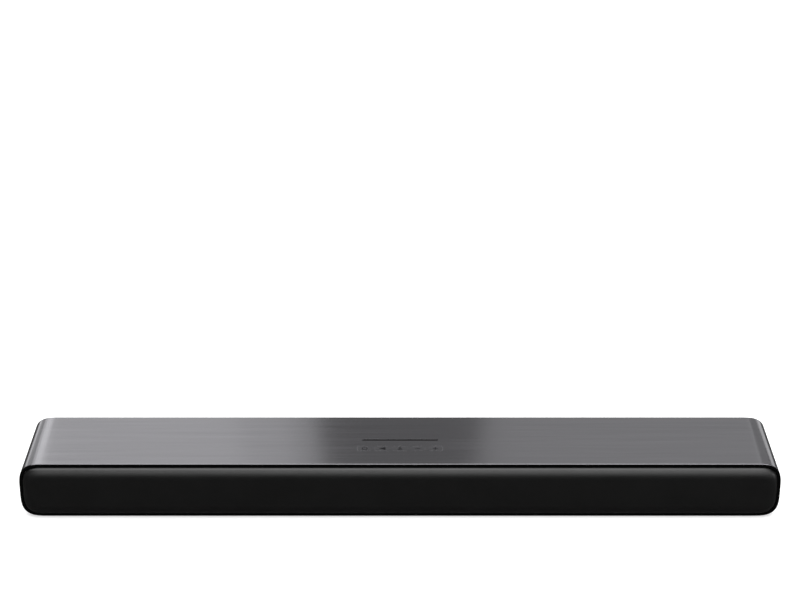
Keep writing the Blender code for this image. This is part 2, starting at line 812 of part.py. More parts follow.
def make_cone(name, x):
    """The paper cone, from a stadium edge to a round neck, in one with its voice-coil former."""
    s, wall = DRIVER_STRAIGHT, 0.5 * MM
    edge = FLANGE_FRONT_Y + 0.1 * MM
    neck = BAFFLE_Y + 8 * MM
    end = BOWL_BACK_Y + 5 * MM
    sections = [
        (s, CONE_RADIUS - 0.3 * MM, edge),
        (s, CONE_RADIUS - 0.3 * MM, edge + wall),
        (0, COIL_RADIUS, neck + wall),
        (0, COIL_RADIUS, end),
        (0, COIL_RADIUS - wall, end),
        (0, COIL_RADIUS - wall, neck),
        (s, CONE_RADIUS - 1.5 * MM, edge),
    ]
    return oval_ring(name + "_cone", sections, axis_of(x), "cone_paper")


def make_dust_cap(name, x):
    """The domed cap over the coil: a shell of even wall, its rim just clear of the cone."""
    rim, rise, wall = COIL_RADIUS - 1 * MM, 3 * MM, 0.5 * MM
    base = BAFFLE_Y + 6.5 * MM
    steps = 4
    outside, inside = [], []
    for i in range(steps + 1):
        turn = math.radians(90 * i / steps)
        outside.append((rim * math.cos(turn), base - rise * math.sin(turn)))
        inside.append(((rim - wall) * math.cos(turn), base - (rise - wall) * math.sin(turn)))
    outside[-1] = (0.0, outside[-1][1])
    inside[-1] = (0.0, inside[-1][1])
    profile = inside[::-1] + outside
    return turned(name + "_dust_cap", profile, axis_of(x), "cone_paper", 16)


def make_magnet(name, x):
    """The ferrite ring, and the steel yoke whose pole stands inside the voice coil."""
    front, back = YOKE_FRONT_Y, YOKE_FRONT_Y + MAGNET_HEIGHT
    inner = COIL_RADIUS + 0.5 * MM
    turned(
        name + "_magnet",
        [(inner, front), (inner, back), (MAGNET_RADIUS, back), (MAGNET_RADIUS, front)],
        axis_of(x),
        "ferrite",
        closed=True,
    )
    pole = COIL_RADIUS - 1 * MM
    plate_front = back + GAP
    plate_back = plate_front + YOKE_PLATE
    profile = [
        (0, plate_back),
        (MAGNET_RADIUS - MM, plate_back),
        (MAGNET_RADIUS - MM, plate_front),
        (pole, plate_front),
        (pole, front),
        (0, front),
    ]
    turned(name + "_yoke", profile, axis_of(x), "plated_steel")


def make_driver_screws(name, x):
    corners = ("bottom_left", "top_left", "bottom_right", "top_right")
    for corner, (dx, dz) in zip(corners, driver_screw_offsets()):
        screw = screw_solid(
            f"{name}_screw_{corner}", DRIVER_SCREW_RADIUS, 5 * MM, 2.3 * MM, 1.2 * MM
        )
        screw.location = (x + dx, FLANGE_FRONT_Y - GAP, MIDDLE_Z + dz)
        screw.rotation_euler = (-math.pi / 2, 0, 0)


def make_drivers():
    for name, x in (("driver_left", -DRIVER_X), ("driver_right", DRIVER_X)):
        make_basket(name, x)
        make_surround(name, x)
        make_cone(name, x)
        make_dust_cap(name, x)
        make_magnet(name, x)
        make_driver_screws(name, x)


# ---------------------------------------------------------------- acoustic pieces


def make_ports():
    """Each bass port is a tube behind its mouth in the back, flared at its inner end."""
    wall, flare = 1.5 * MM, 3 * MM
    back, front = PANEL_Y - GAP, PANEL_Y - GAP - PORT_LENGTH
    inner = PORT_RADIUS
    profile = [
        (inner, back),
        (inner + 2 * wall, back),
        (inner + 2 * wall, back - 2 * MM),
        (inner + wall, back - 2 * MM),
        (inner + wall, front + flare),
        (inner + wall + flare, front),
        (inner + flare, front),
        (inner, front + flare),
    ]
    for side, x in (("left", -PORT_X), ("right", PORT_X)):
        turned(f"bass_port_{side}", profile, axis_of(x), "black_plastic", 20, closed=True)


LEAD_HOLE = (10 * MM, 20 * MM)


def make_chamber_walls():
    """The dividing walls that close each driver's air off from the electronics."""
    low_y, high_y = BAFFLE_Y + PANEL_WALL + GAP, PANEL_Y - GAP
    outline = rectangle(low_y, high_y, FLOOR_Z + GAP, UNDERSIDE_Z - GAP)
    hole = circle(2 * MM, LEAD_HOLE, 12)
    for side, x in (("left", -WALL_X), ("right", WALL_X)):
        plate(
            "chamber_wall_" + side, [outline, hole], x - 1.25 * MM, x + 1.25 * MM, "X", "black_plastic"
        )


# ---------------------------------------------------------------- sockets and electronics


HDMI_X, OPTICAL_X, USB_X, AUX_X, INLET_X = (v * MM for v in (-90, -66, -44, -24, 78))
HDMI_SIZE = (15.4 * MM, 12 * MM, 6.4 * MM)
OPTICAL_SIZE = (10 * MM, 13 * MM, 10.4 * MM)
USB_SIZE = (14 * MM, 14 * MM, 7 * MM)
AUX_SIZE = (8 * MM, 12 * MM, 7 * MM)
INLET_SIZE = (24 * MM, 16 * MM, 15 * MM)


def socket_outline(x, size, clear=0.0):
    return rectangle(
        x - size[0] / 2 - clear, x + size[0] / 2 + clear, SOCKET_Z - clear, SOCKET_Z + size[2] + clear
    )


def socket_holes():
    sizes = ((HDMI_X, HDMI_SIZE), (OPTICAL_X, OPTICAL_SIZE), (USB_X, USB_SIZE))
    holes = [socket_outline(x, size, GAP) for x, size in sizes]
    holes.append(circle(3.2 * MM + GAP, (AUX_X, SOCKET_Z + AUX_SIZE[2] / 2), 16))
    return holes


def inlet_hole():
    return socket_outline(INLET_X, INLET_SIZE, GAP)


def socket_block(name, x, size, slot):
    face = SOCKET_FACE_Y
    return plate(name, [socket_outline(x, size)], face - size[1], face, "Y", slot)


def cavity(name, outline, depth):
    return plate(name + "_cavity", [outline], SOCKET_FACE_Y - depth, SOCKET_FACE_Y + MM, "Y", None)


def make_sockets():
    """HDMI-type, optical, USB-type and jack sockets, each a hollow block with its contact tongue."""
    face = SOCKET_FACE_Y
    middle = SOCKET_Z + HDMI_SIZE[2] / 2
    half, rise, cut_in = 7 * MM, 2.3 * MM, 1.6 * MM
    mouth = [
        (HDMI_X - half, middle + rise),
        (HDMI_X - half, middle - rise + cut_in),
        (HDMI_X - half + cut_in, middle - rise),
        (HDMI_X + half - cut_in, middle - rise),
        (HDMI_X + half, middle - rise + cut_in),
        (HDMI_X + half, middle + rise),
    ]
    video = socket_block("video_socket", HDMI_X, HDMI_SIZE, "plated_steel")
    cut(video, cavity("video", mouth, 9 * MM))
    tongue = rectangle(HDMI_X - 5.8 * MM, HDMI_X + 5.8 * MM, middle - 0.1 * MM, middle + 1.1 * MM)
    join(video, plate("video_tongue", [tongue], face - 9.5 * MM, face - 1.5 * MM, "Y", None))

    middle = SOCKET_Z + OPTICAL_SIZE[2] / 2
    optical = socket_block("optical_socket", OPTICAL_X, OPTICAL_SIZE, "black_plastic")
    square = rounded_rectangle(7.2 * MM, 7.2 * MM, 1.5 * MM, (OPTICAL_X, middle), 2)
    cut(optical, cavity("optical", square, 9 * MM))

    middle = SOCKET_Z + USB_SIZE[2] / 2
    usb = socket_block("usb_socket", USB_X, USB_SIZE, "plated_steel")
    slot = rectangle(USB_X - 6.2 * MM, USB_X + 6.2 * MM, middle - 2.6 * MM, middle + 2.6 * MM)
    cut(usb, cavity("usb", slot, 10 * MM))
    tongue = rectangle(USB_X - 5.5 * MM, USB_X + 5.5 * MM, middle + 0.3 * MM, middle + 2 * MM)
    join(usb, plate("usb_tongue", [tongue], face - 10.5 * MM, face - 1 * MM, "Y", None))

    middle = SOCKET_Z + AUX_SIZE[2] / 2
    size = AUX_SIZE
    aux = plate(
        "aux_socket",
        [socket_outline(AUX_X, size)],
        BAY_BACK_Y - BAY_WALL - GAP - size[1],
        BAY_BACK_Y - BAY_WALL - GAP,
        "Y",
        "black_plastic",
    )
    nose_back = BAY_BACK_Y - BAY_WALL - 2 * MM
    join(aux, cylinder("aux_nose", 3.2 * MM, nose_back, face, (AUX_X, middle), "Y", None, 16))
    cut(aux, cavity("aux", circle(1.8 * MM, (AUX_X, middle), 16), 12 * MM))


def make_mains_inlet():
    """The two-pin mains inlet: a stadium well with two round pins."""
    middle = SOCKET_Z + INLET_SIZE[2] / 2
    inlet = socket_block("mains_inlet", INLET_X, INLET_SIZE, "black_plastic")
    cut(inlet, cavity("mains", stadium(4.2 * MM, 4.4 * MM, (INLET_X, middle)), 12 * MM))
    for side in (-1, 1):
        pin = cylinder(
            f"mains_pin_{side}",
            1.2 * MM,
            SOCKET_FACE_Y - 13 * MM,
            SOCKET_FACE_Y - 3 * MM,
            (INLET_X + side * 4.3 * MM, middle),
            "Y",
            None,
            12,
        )
        join(inlet, pin)


def board_part(name, low, size):
    """A component on a board: a block whose foot is sunk a little into the board, for the union."""
    sink = 0.2 * MM
    x, y = low
    base = BOARD_Z + BOARD_WALL - sink
    return box(name, (x, y, base), (x + size[0], y + size[1], base + size[2]), None)


def can(name, centre, radius, height):
    """A round capacitor standing on a board."""
    base = BOARD_Z + BOARD_WALL - 0.2 * MM
    return cylinder(name, radius, base, base + height, centre, "Z", None, 16)


def make_main_board():
    edge = BAY_BACK_Y - BAY_WALL - GAP
    outline = rectangle(-112 * MM, 12 * MM, -30 * MM, edge)
    board = plate(
        "main_board", [outline], BOARD_Z, BOARD_Z + BOARD_WALL, "Z", "circuit_board"
    )
    parts = [
        board_part("processor", (-80 * MM, -10 * MM), (14 * MM, 14 * MM, 2 * MM)),
        board_part("amplifier_chip", (-30 * MM, -18 * MM), (20 * MM, 16 * MM, 2.2 * MM)),
        board_part("lead_header_left", (-60 * MM, -28 * MM), (10 * MM, 6 * MM, 7 * MM)),
        board_part("lead_header_right", (0 * MM, -28 * MM), (10 * MM, 6 * MM, 7 * MM)),
        board_part("key_header", (-45 * MM, 8 * MM), (14 * MM, 5 * MM, 6 * MM)),
    ]
    for i, x in enumerate((2 * MM, -42 * MM)):
        for j, y in enumerate((-12 * MM, 0)):
            parts.append(can(f"output_can_{i}_{j}", (x, y), 3.5 * MM, 11 * MM))
    return join(board, *parts)


def make_heat_sink():
    """A finned block on the amplifier chip: one comb outline."""
    low_x, base_z = -32 * MM, BOARD_Z + BOARD_WALL + 2.4 * MM
    fins, pitch, fin, foot, height = 6, 4.4 * MM, 1.4 * MM, 3 * MM, 16 * MM
    width = (fins - 1) * pitch + fin
    outline = [(low_x, base_z), (low_x + width, base_z)]
    for i in reversed(range(fins)):
        x = low_x + i * pitch
        outline += [(x + fin, base_z + height), (x, base_z + height)]
        if i:
            outline += [(x, base_z + foot), (x - pitch + fin, base_z + foot)]
    plate("heat_sink", [outline], -20 * MM, -1 * MM, "Y", "heat_sink")


def make_wireless_module():
    """A small board lying over the main board, with its shield can."""
    low = (-105 * MM, -25 * MM, BOARD_Z + BOARD_WALL + 3 * MM)
    base = box("wireless_module", low, (low[0] + 22 * MM, low[1] + 16 * MM, low[2] + 1 * MM), "circuit_board")
    shield_low = (low[0] + 2 * MM, low[1] + 2 * MM, low[2] + 0.8 * MM)
    shield = box("shield", shield_low, (low[0] + 16 * MM, low[1] + 14 * MM, low[2] + 3 * MM), None)
    pins = box(
        "header_pins",
        (low[0] + 18 * MM, low[1] + 2 * MM, BOARD_Z + BOARD_WALL + GAP),
        (low[0] + 20 * MM, low[1] + 14 * MM, low[2] + 0.2 * MM),
        None,
    )
    return join(base, shield, pins)


def make_power_board():
    edge = BAY_BACK_Y - BAY_WALL - GAP
    outline = rectangle(25 * MM, 140 * MM, -32 * MM, edge)
    board = plate(
        "power_board", [outline], BOARD_Z, BOARD_Z + BOARD_WALL, "Z", "circuit_board"
    )
    parts = [
        can("bulk_can", (50 * MM, 8 * MM), 8 * MM, 26 * MM),
        can("output_can", (36 * MM, -22 * MM), 5 * MM, 18 * MM),
        board_part("choke", (105 * MM, 6 * MM), (16 * MM, 14 * MM, 16 * MM)),
        board_part("fuse", (100 * MM, 26 * MM), (18 * MM, 5 * MM, 5 * MM)),
        board_part("rectifier", (122 * MM, -20 * MM), (4 * MM, 14 * MM, 15 * MM)),
    ]
    return join(board, *parts)


TRANSFORMER_AT = (81 * MM, -15 * MM)


def make_transformer():
    """A ferrite E-core on edge with its taped winding standing out on both sides."""
    base = BOARD_Z + BOARD_WALL + GAP
    layers = (
        ("transformer", 13 * MM, 7 * MM, 3 * MM, 25 * MM),
        ("winding", 9 * MM, 12 * MM, 6 * MM, 22 * MM),
        ("bobbin", 11 * MM, 11 * MM, 0, 3.5 * MM),
    )
    pieces = []
    for name, half_x, half_y, low, high in layers:
        slot = None if pieces else "winding_tape"
        x, y = TRANSFORMER_AT
        corners = (x - half_x, y - half_y, base + low), (x + half_x, y + half_y, base + high)
        pieces.append(box(name, *corners, slot))
    return join(*pieces)


def make_indicator_board():
    """The small board behind the grille's middle: five status lamps and the remote's receiver."""
    back = BAFFLE_Y - GAP
    front = back - 1.2 * MM
    outline = rounded_rectangle(46 * MM, 14 * MM, 1 * MM, (0, MIDDLE_Z), 2)
    board = plate("indicator_board", [outline], front, back, "Y", "circuit_board")
    parts = []
    for i in range(5):
        x = (-14 + 5 * i) * MM
        parts.append(
            box(
                f"lamp_{i}",
                (x - MM, front - 1.2 * MM, MIDDLE_Z - MM),
                (x + MM, front + 0.2 * MM, MIDDLE_Z + MM),
                None,
            )
        )
    receiver = (16 * MM, MIDDLE_Z)
    parts.append(
        cylinder("receiver", 2.5 * MM, front - 3 * MM, front + 0.2 * MM, receiver, "Y", None, 12)
    )
    return join(board, *parts)


# ---------------------------------------------------------------- leads


def smooth_route(points, spacing):
    """Points at an even spacing along a Catmull-Rom curve through the route's own points."""
    ends = [points[0] * 2 - points[1], *points, points[-1] * 2 - points[-2]]
    fine = []
    for a, b, c, d in zip(ends, ends[1:], ends[2:], ends[3:]):
        for i in range(16):
            t = i / 16
            fine.append(
                0.5 * (2 * b + (c - a) * t + (2 * a - 5 * b + 4 * c - d) * t**2
                       + (3 * b - a - 3 * c + d) * t**3)
            )
    fine.append(points[-1])
    picked, run = [fine[0]], 0.0
    for here, there in zip(fine, fine[1:]):
        run += (there - here).length
        if run >= spacing:
            picked.append(there)
            run = 0.0
    picked[-1] = fine[-1]
    return picked


def make_speaker_leads():
    """Each twin lead runs from its header, through the dividing wall, to its driver's terminals."""
    radius = 1.1 * MM
    for side, sign, start_x in (("left", -1, -55 * MM), ("right", 1, 5 * MM)):
        header_top = BOARD_Z + BOARD_WALL + 7.4 * MM
        x_out = sign * WALL_X
        route = [
            Vector((start_x, -25 * MM, header_top)),
            Vector((start_x + sign * 6 * MM, -25 * MM, header_top + 14 * MM)),
            Vector((sign * 112 * MM, -14 * MM, 40 * MM)),
            Vector((x_out - sign * 14 * MM, 6 * MM, LEAD_HOLE[1] + 3 * MM)),
            Vector((x_out, LEAD_HOLE[0], LEAD_HOLE[1])),
            Vector((x_out + sign * 16 * MM, 8 * MM, LEAD_HOLE[1] - 3 * MM)),
            Vector((sign * 205 * MM, -8 * MM, 12 * MM)),
            Vector((sign * 226 * MM, -20 * MM, 15 * MM)),
            Vector((sign * 231 * MM, -30 * MM, 20 * MM)),
        ]
        curve = bpy.data.curves.new("speaker_lead_" + side, "CURVE")
        curve.dimensions = "3D"
        curve.bevel_depth = radius
        curve.bevel_resolution = 1
        curve.render_resolution_u = 0
        curve.use_fill_caps = True
        points = smooth_route(route, 8 * MM)
        spline = curve.splines.new("POLY")
        spline.points.add(len(points) - 1)
        for point, place in zip(spline.points, points):
            point.co = (*place, 1)
        lead = bpy.data.objects.new("speaker_lead_" + side, curve)
        PARTS.objects.link(lead)
        curve.materials.append(MATERIALS["wire_sleeve"])


def main():
    make_top_cover()
    make_bottom_cover()
    make_rear_panel()
    make_front_baffle()
    make_trim_frame()
    make_grille()
    make_feet()
    make_cover_screws()
    make_keys()
    make_key_guide()
    make_key_board()
    make_marker_strip()
    make_drivers()
    make_ports()
    make_chamber_walls()
    make_sockets()
    make_mains_inlet()
    make_main_board()
    make_heat_sink()
    make_wireless_module()
    make_power_board()
    make_transformer()
    make_indicator_board()
    make_speaker_leads()


main()
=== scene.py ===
"""Soundbar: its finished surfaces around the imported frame, with a pale floor, soft lights and a camera.

The frame runs along X, its grille faces -Y and +Z is up, all in metres.
Each sub-assembly is a class that builds its meshes from numpy grids and dresses them in its finishes.
"""

import json
import logging
import math
from collections.abc import Callable, Sequence
from dataclasses import dataclass, field
from enum import Enum

import bmesh
import bpy
import numpy as np
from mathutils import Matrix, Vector

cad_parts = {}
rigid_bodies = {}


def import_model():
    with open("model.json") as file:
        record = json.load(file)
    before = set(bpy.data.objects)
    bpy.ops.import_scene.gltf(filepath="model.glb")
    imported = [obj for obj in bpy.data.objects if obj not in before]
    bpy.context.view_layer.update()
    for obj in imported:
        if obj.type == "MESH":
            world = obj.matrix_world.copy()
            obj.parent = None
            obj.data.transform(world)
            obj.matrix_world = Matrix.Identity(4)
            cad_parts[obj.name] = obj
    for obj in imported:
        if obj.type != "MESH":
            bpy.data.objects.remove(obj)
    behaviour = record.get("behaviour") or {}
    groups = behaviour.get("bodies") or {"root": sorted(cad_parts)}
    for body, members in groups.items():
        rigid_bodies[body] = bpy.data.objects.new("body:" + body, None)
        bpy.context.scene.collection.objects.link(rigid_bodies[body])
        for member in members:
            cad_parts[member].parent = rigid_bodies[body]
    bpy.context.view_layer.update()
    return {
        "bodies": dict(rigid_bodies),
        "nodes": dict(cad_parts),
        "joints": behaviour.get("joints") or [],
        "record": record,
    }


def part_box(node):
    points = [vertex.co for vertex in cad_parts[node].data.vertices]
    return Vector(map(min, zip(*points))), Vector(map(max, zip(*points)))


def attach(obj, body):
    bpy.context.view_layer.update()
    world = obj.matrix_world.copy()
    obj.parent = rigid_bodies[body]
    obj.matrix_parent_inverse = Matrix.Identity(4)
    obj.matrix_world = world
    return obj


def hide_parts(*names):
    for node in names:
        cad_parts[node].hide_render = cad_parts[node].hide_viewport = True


MM = 0.001
LOG = logging.getLogger("soundbar")
Colour = tuple[float, float, float]
Section = np.ndarray

CORNER_REACH = 30.2 * MM
CORNER_POWER = 3.5
CORNER_STEPS = 30
SHARP = math.radians(38)
BACK_LIGHT_Y = 1.2


# ---------------------------------------------------------------- outlines and grids


class Plane(Enum):
    """A plane's own two axes and its normal, as axis numbers."""

    FRONT = (0, 2, 1)
    TOP = (0, 1, 2)


@dataclass(frozen=True)
class RoundedRectangle:
    """A rectangle with round corners, its points running clockwise from the lower left corner.

    Each corner is a superellipse: a quarter circle at a power of 2, and at a higher power a curve whose
    bend grows slowly from nothing at the straight sides. reach is how far along a side a corner begins,
    and support how far past it an extra point keeps the straight side's shading flat. An outline that is
    open below leaves off some points at each end.
    """

    centre: tuple[float, float]
    width: float
    height: float
    reach: float
    steps: int = 12
    power: float = 2.0
    support: float = 0.4 * MM
    left_off: int = 0

    def inset(self, distance: float) -> np.ndarray:
        """Gives the outline moved inwards, its corners shrinking by the same distance.

        With u running over a right angle, a corner's point lies at reach times (cos u, sin u), each to the
        power of 2 / power, from the corner's own centre.

        Args:
            distance: how far inwards, in metres; negative is outwards.

        Returns:
            An array of points in the outline's own plane.
        """
        reach = max(self.reach - distance, self.support)
        half = np.array([self.width, self.height]) / 2 - distance - reach
        turn = np.radians(np.linspace(0, 90, self.steps + 1))
        bend = reach * np.stack([np.cos(turn), np.sin(turn)], axis=1) ** (2 / self.power)
        corners = []
        for side_x, side_y in ((-1, -1), (-1, 1), (1, 1), (1, -1)):
            arc = (bend + half) * np.array([side_x, side_y])
            lead = np.array([[0.0, -side_y * self.support]])
            tail = np.array([[-side_x * self.support, 0.0]])
            run = np.vstack([arc[:1] + lead, arc, arc[-1:] + tail])
            corners.append(run[::-1] if side_x * side_y > 0 else run)
        points = np.vstack(corners) + np.array(self.centre)
        return points[self.left_off : len(points) - self.left_off]


@dataclass(frozen=True)
class Stadium:
    """Two half circles joined by straight sides, the long way along the plane's first axis."""

    centre: tuple[float, float]
    straight: float
    radius: float
    steps: int = 10

    def inset(self, distance: float) -> np.ndarray:
        """Gives the outline moved inwards: each half circle's radius shrinks by the distance."""
        turn = np.radians(np.linspace(90, -90, self.steps + 1))
        arc = (self.radius - distance) * np.stack([np.cos(turn), np.sin(turn)], axis=1)
        half = np.array([self.straight, 0.0])
        return np.vstack([arc + half, -arc - half]) + np.array(self.centre)


def rounded_section(
    corners: Sequence[tuple[float, float, float]], steps: int = 3, closed: bool = True
) -> Section:
    """Rounds the corners of a section.

    Each arc touches both sides of its corner, and its points turn evenly about the arc's centre.

    Args:
        corners: (inset, place along the normal, radius) of each corner.
        steps: the number of steps in each arc.
        closed: whether the last corner joins the first; the ends of an open section stay sharp.

    Returns:
        An array of (inset, place along the normal).
    """
    places = np.array([corner[:2] for corner in corners])
    rows = []
    for i, (_, _, radius) in enumerate(corners):
        here = places[i]
        if radius == 0 or (not closed and i in (0, len(corners) - 1)):
            rows.append(here[None])
            continue
        before = places[i - 1] - here
        after = places[(i + 1) % len(places)] - here
        before = before / np.linalg.norm(before)
        after = after / np.linalg.norm(after)
        half = math.acos(float(np.clip(before @ after, -1, 1))) / 2
        middle = here + (before + after) / np.linalg.norm(before + after) * radius / math.sin(half)
        first = here + before * radius / math.tan(half) - middle
        last = here + after * radius / math.tan(half) - middle
        swing = math.pi - 2 * half
        share = np.linspace(0, 1, steps + 1)[:, None]
        arc = (np.sin((1 - share) * swing) * first + np.sin(share * swing) * last) / math.sin(swing)
        rows.append(middle + arc)
    return np.vstack(rows)


def grid_faces(rows: int, columns: int, wrap_rows: bool, wrap_columns: bool) -> np.ndarray:
    """Gives the quads between a grid's neighbouring rows and columns, as an array of point numbers."""
    row = np.arange(rows if wrap_rows else rows - 1)[:, None]
    column = np.arange(columns if wrap_columns else columns - 1)[None]
    next_row, next_column = (row + 1) % rows, (column + 1) % columns
    corners = [
        row * columns + column,
        row * columns + next_column,
        next_row * columns + next_column,
        next_row * columns + column,
    ]
    return np.stack(np.broadcast_arrays(*corners), axis=-1).reshape(-1, 4)


def signed_volume(points: np.ndarray, quads: np.ndarray) -> float:
    """Sums the tetrahedra between the origin and each quad's two triangles: below 0 when inside out."""
    a, b, c, d = (points[quads[:, i]] for i in range(4))
    total = np.einsum("ij,ij->i", a, np.cross(b, c)) + np.einsum("ij,ij->i", a, np.cross(c, d))
    return float(total.sum()) / 6


def new_piece(name: str, points: np.ndarray, faces: list[list[int]]) -> bpy.types.Object:
    """Makes an object whose place is in its mesh, shaded smooth up to sharp edges."""
    mesh = bpy.data.meshes.new(name)
    mesh.from_pydata(points.tolist(), [], faces)
    mesh.update()
    mesh.shade_smooth()
    mesh.set_sharp_from_angle(angle=SHARP)
    piece = bpy.data.objects.new(name, mesh)
    bpy.context.scene.collection.objects.link(piece)
    return piece


def swept(
    name: str,
    outline: Callable[[float], np.ndarray],
    section: Section,
    plane: Plane,
    ring: bool = False,
    open_path: bool = False,
) -> bpy.types.Object:
    """Carries a section round an outline.

    The point (row, column) of the grid is the outline's point of that column, moved inwards by the row's
    inset, at the row's place along the plane's normal.

    Args:
        name: the piece's name.
        outline: gives the outline's points for an inset.
        section: rows of (inset, place along the normal).
        plane: the plane that the outline lies in.
        ring: True joins the section's last row to its first; False closes both ends with flat faces.
        open_path: True closes the outline's two ends instead of joining them.

    Returns:
        The new object, with its faces outwards.
    """
    flat = np.stack([outline(float(inset)) for inset in section[:, 0]])
    rows, columns = flat.shape[:2]
    first, second, normal = plane.value
    points = np.empty((rows, columns, 3))
    points[..., first], points[..., second] = flat[..., 0], flat[..., 1]
    points[..., normal] = section[:, 1][:, None]
    points = points.reshape(-1, 3)
    quads = grid_faces(rows, columns, ring, not open_path)
    caps = []
    if not ring:
        caps = [list(range(columns))[::-1], list(range((rows - 1) * columns, rows * columns))]
    if open_path:
        starts = np.arange(rows) * columns
        caps = [starts.tolist(), (starts + columns - 1).tolist()[::-1]]
    middle = points.mean(axis=0)
    faces = quads.tolist() + caps
    if signed_volume(points - middle, quads) < 0:
        faces = [face[::-1] for face in faces]
    return new_piece(name, points, faces)


def cut_out(piece: bpy.types.Object, cutters: Sequence[bpy.types.Object]) -> None:
    """Cuts the cutters out of a piece for good, and removes them."""
    for cutter in cutters:
        modifier = piece.modifiers.new(cutter.name, "BOOLEAN")
        modifier.operation = "DIFFERENCE"
        modifier.object = cutter
    graph = bpy.context.evaluated_depsgraph_get()
    mesh = bpy.data.meshes.new_from_object(piece.evaluated_get(graph))
    piece.modifiers.clear()
    piece.data = mesh
    for cutter in cutters:
        bpy.data.objects.remove(cutter)


def eased(piece: bpy.types.Object, width: float, angle: float = 50, segments: int = 2) -> None:
    """Rounds a piece's sharp edges a little."""
    modifier = piece.modifiers.new("eased_edges", "BEVEL")
    modifier.width = width
    modifier.segments = segments
    modifier.limit_method = "ANGLE"
    modifier.angle_limit = math.radians(angle)
    modifier.harden_normals = True


def moulded_copy(frame: dict, node: str, width: float) -> bpy.types.Object:
    """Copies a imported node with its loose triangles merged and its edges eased, and hides the node."""
    source = frame["nodes"][node]
    mesh = source.data.copy()
    work = bmesh.new()
    work.from_mesh(mesh)
    bmesh.ops.remove_doubles(work, verts=work.verts, dist=0.002 * MM)
    bmesh.ops.dissolve_limit(
        work, angle_limit=math.radians(0.5), verts=work.verts, edges=work.edges, delimit=set()
    )
    work.to_mesh(mesh)
    work.free()
    mesh.shade_smooth()
    mesh.set_sharp_from_angle(angle=math.radians(32))
    piece = bpy.data.objects.new(node + "_finished", mesh)
    bpy.context.scene.collection.objects.link(piece)
    eased(piece, width)
    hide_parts(node)
    return piece


# ---------------------------------------------------------------- node trees


class Graph:
    """A node tree that is being wired up."""

    def __init__(self, tree: bpy.types.NodeTree) -> None:
        """Starts on an empty tree."""
        self.tree = tree
        tree.nodes.clear()

    def node(self, kind: str, inputs: dict | None = None, **settings: object) -> bpy.types.Node:
        """Adds a node.

        Args:
            kind: the node's type, without its ShaderNode prefix.
            inputs: each input's name or number, with a value or the socket that feeds it.
            **settings: the node's own properties.

        Returns:
            The new node.
        """
        made = self.tree.nodes.new(kind if kind.startswith("Node") else "ShaderNode" + kind)
        for name, value in settings.items():
            setattr(made, name, value)
        for name, value in (inputs or {}).items():
            if isinstance(value, bpy.types.NodeSocket):
                self.tree.links.new(value, made.inputs[name])
            else:
                made.inputs[name].default_value = value
        return made

    def maths(self, operation: str, first: object, second: object = 0.0) -> bpy.types.NodeSocket:
        """Adds a Math node and gives its result."""
        made = self.node("Math", {0: first, 1: second}, operation=operation)
        return made.outputs[0]

    def scaled(self, place: object, factors: tuple[float, float, float]) -> bpy.types.NodeSocket:
        """Multiplies a vector by three factors."""
        made = self.node("VectorMath", {0: place, 1: factors}, operation="MULTIPLY")
        return made.outputs[0]

    def between(self, share: object, low: object, high: object) -> bpy.types.NodeSocket:
        """Runs from low to high as share runs from 0 to 1."""
        made = self.node("MapRange", {"Value": share, "To Min": low, "To Max": high})
        return made.outputs["Result"]

    def tinted(self, share: object, first: Colour, second: Colour) -> bpy.types.NodeSocket:
        """Mixes two colours by share."""
        made = self.node("Mix", {0: share, 6: (*first, 1), 7: (*second, 1)}, data_type="RGBA")
        return made.outputs[2]


def new_group(name: str, inputs: dict[str, tuple[str, object]], outputs: Sequence[str]) -> Graph:
    """Starts a shader group whose inputs are {name: (kind, value)} and whose outputs are numbers."""
    tree = bpy.data.node_groups.new(name, "ShaderNodeTree")
    for title, (kind, value) in inputs.items():
        socket = tree.interface.new_socket(title, in_out="INPUT", socket_type="NodeSocket" + kind)
        if value is not None:
            socket.default_value = value
    for title in outputs:
        tree.interface.new_socket(title, in_out="OUTPUT", socket_type="NodeSocketFloat")
    return Graph(tree)


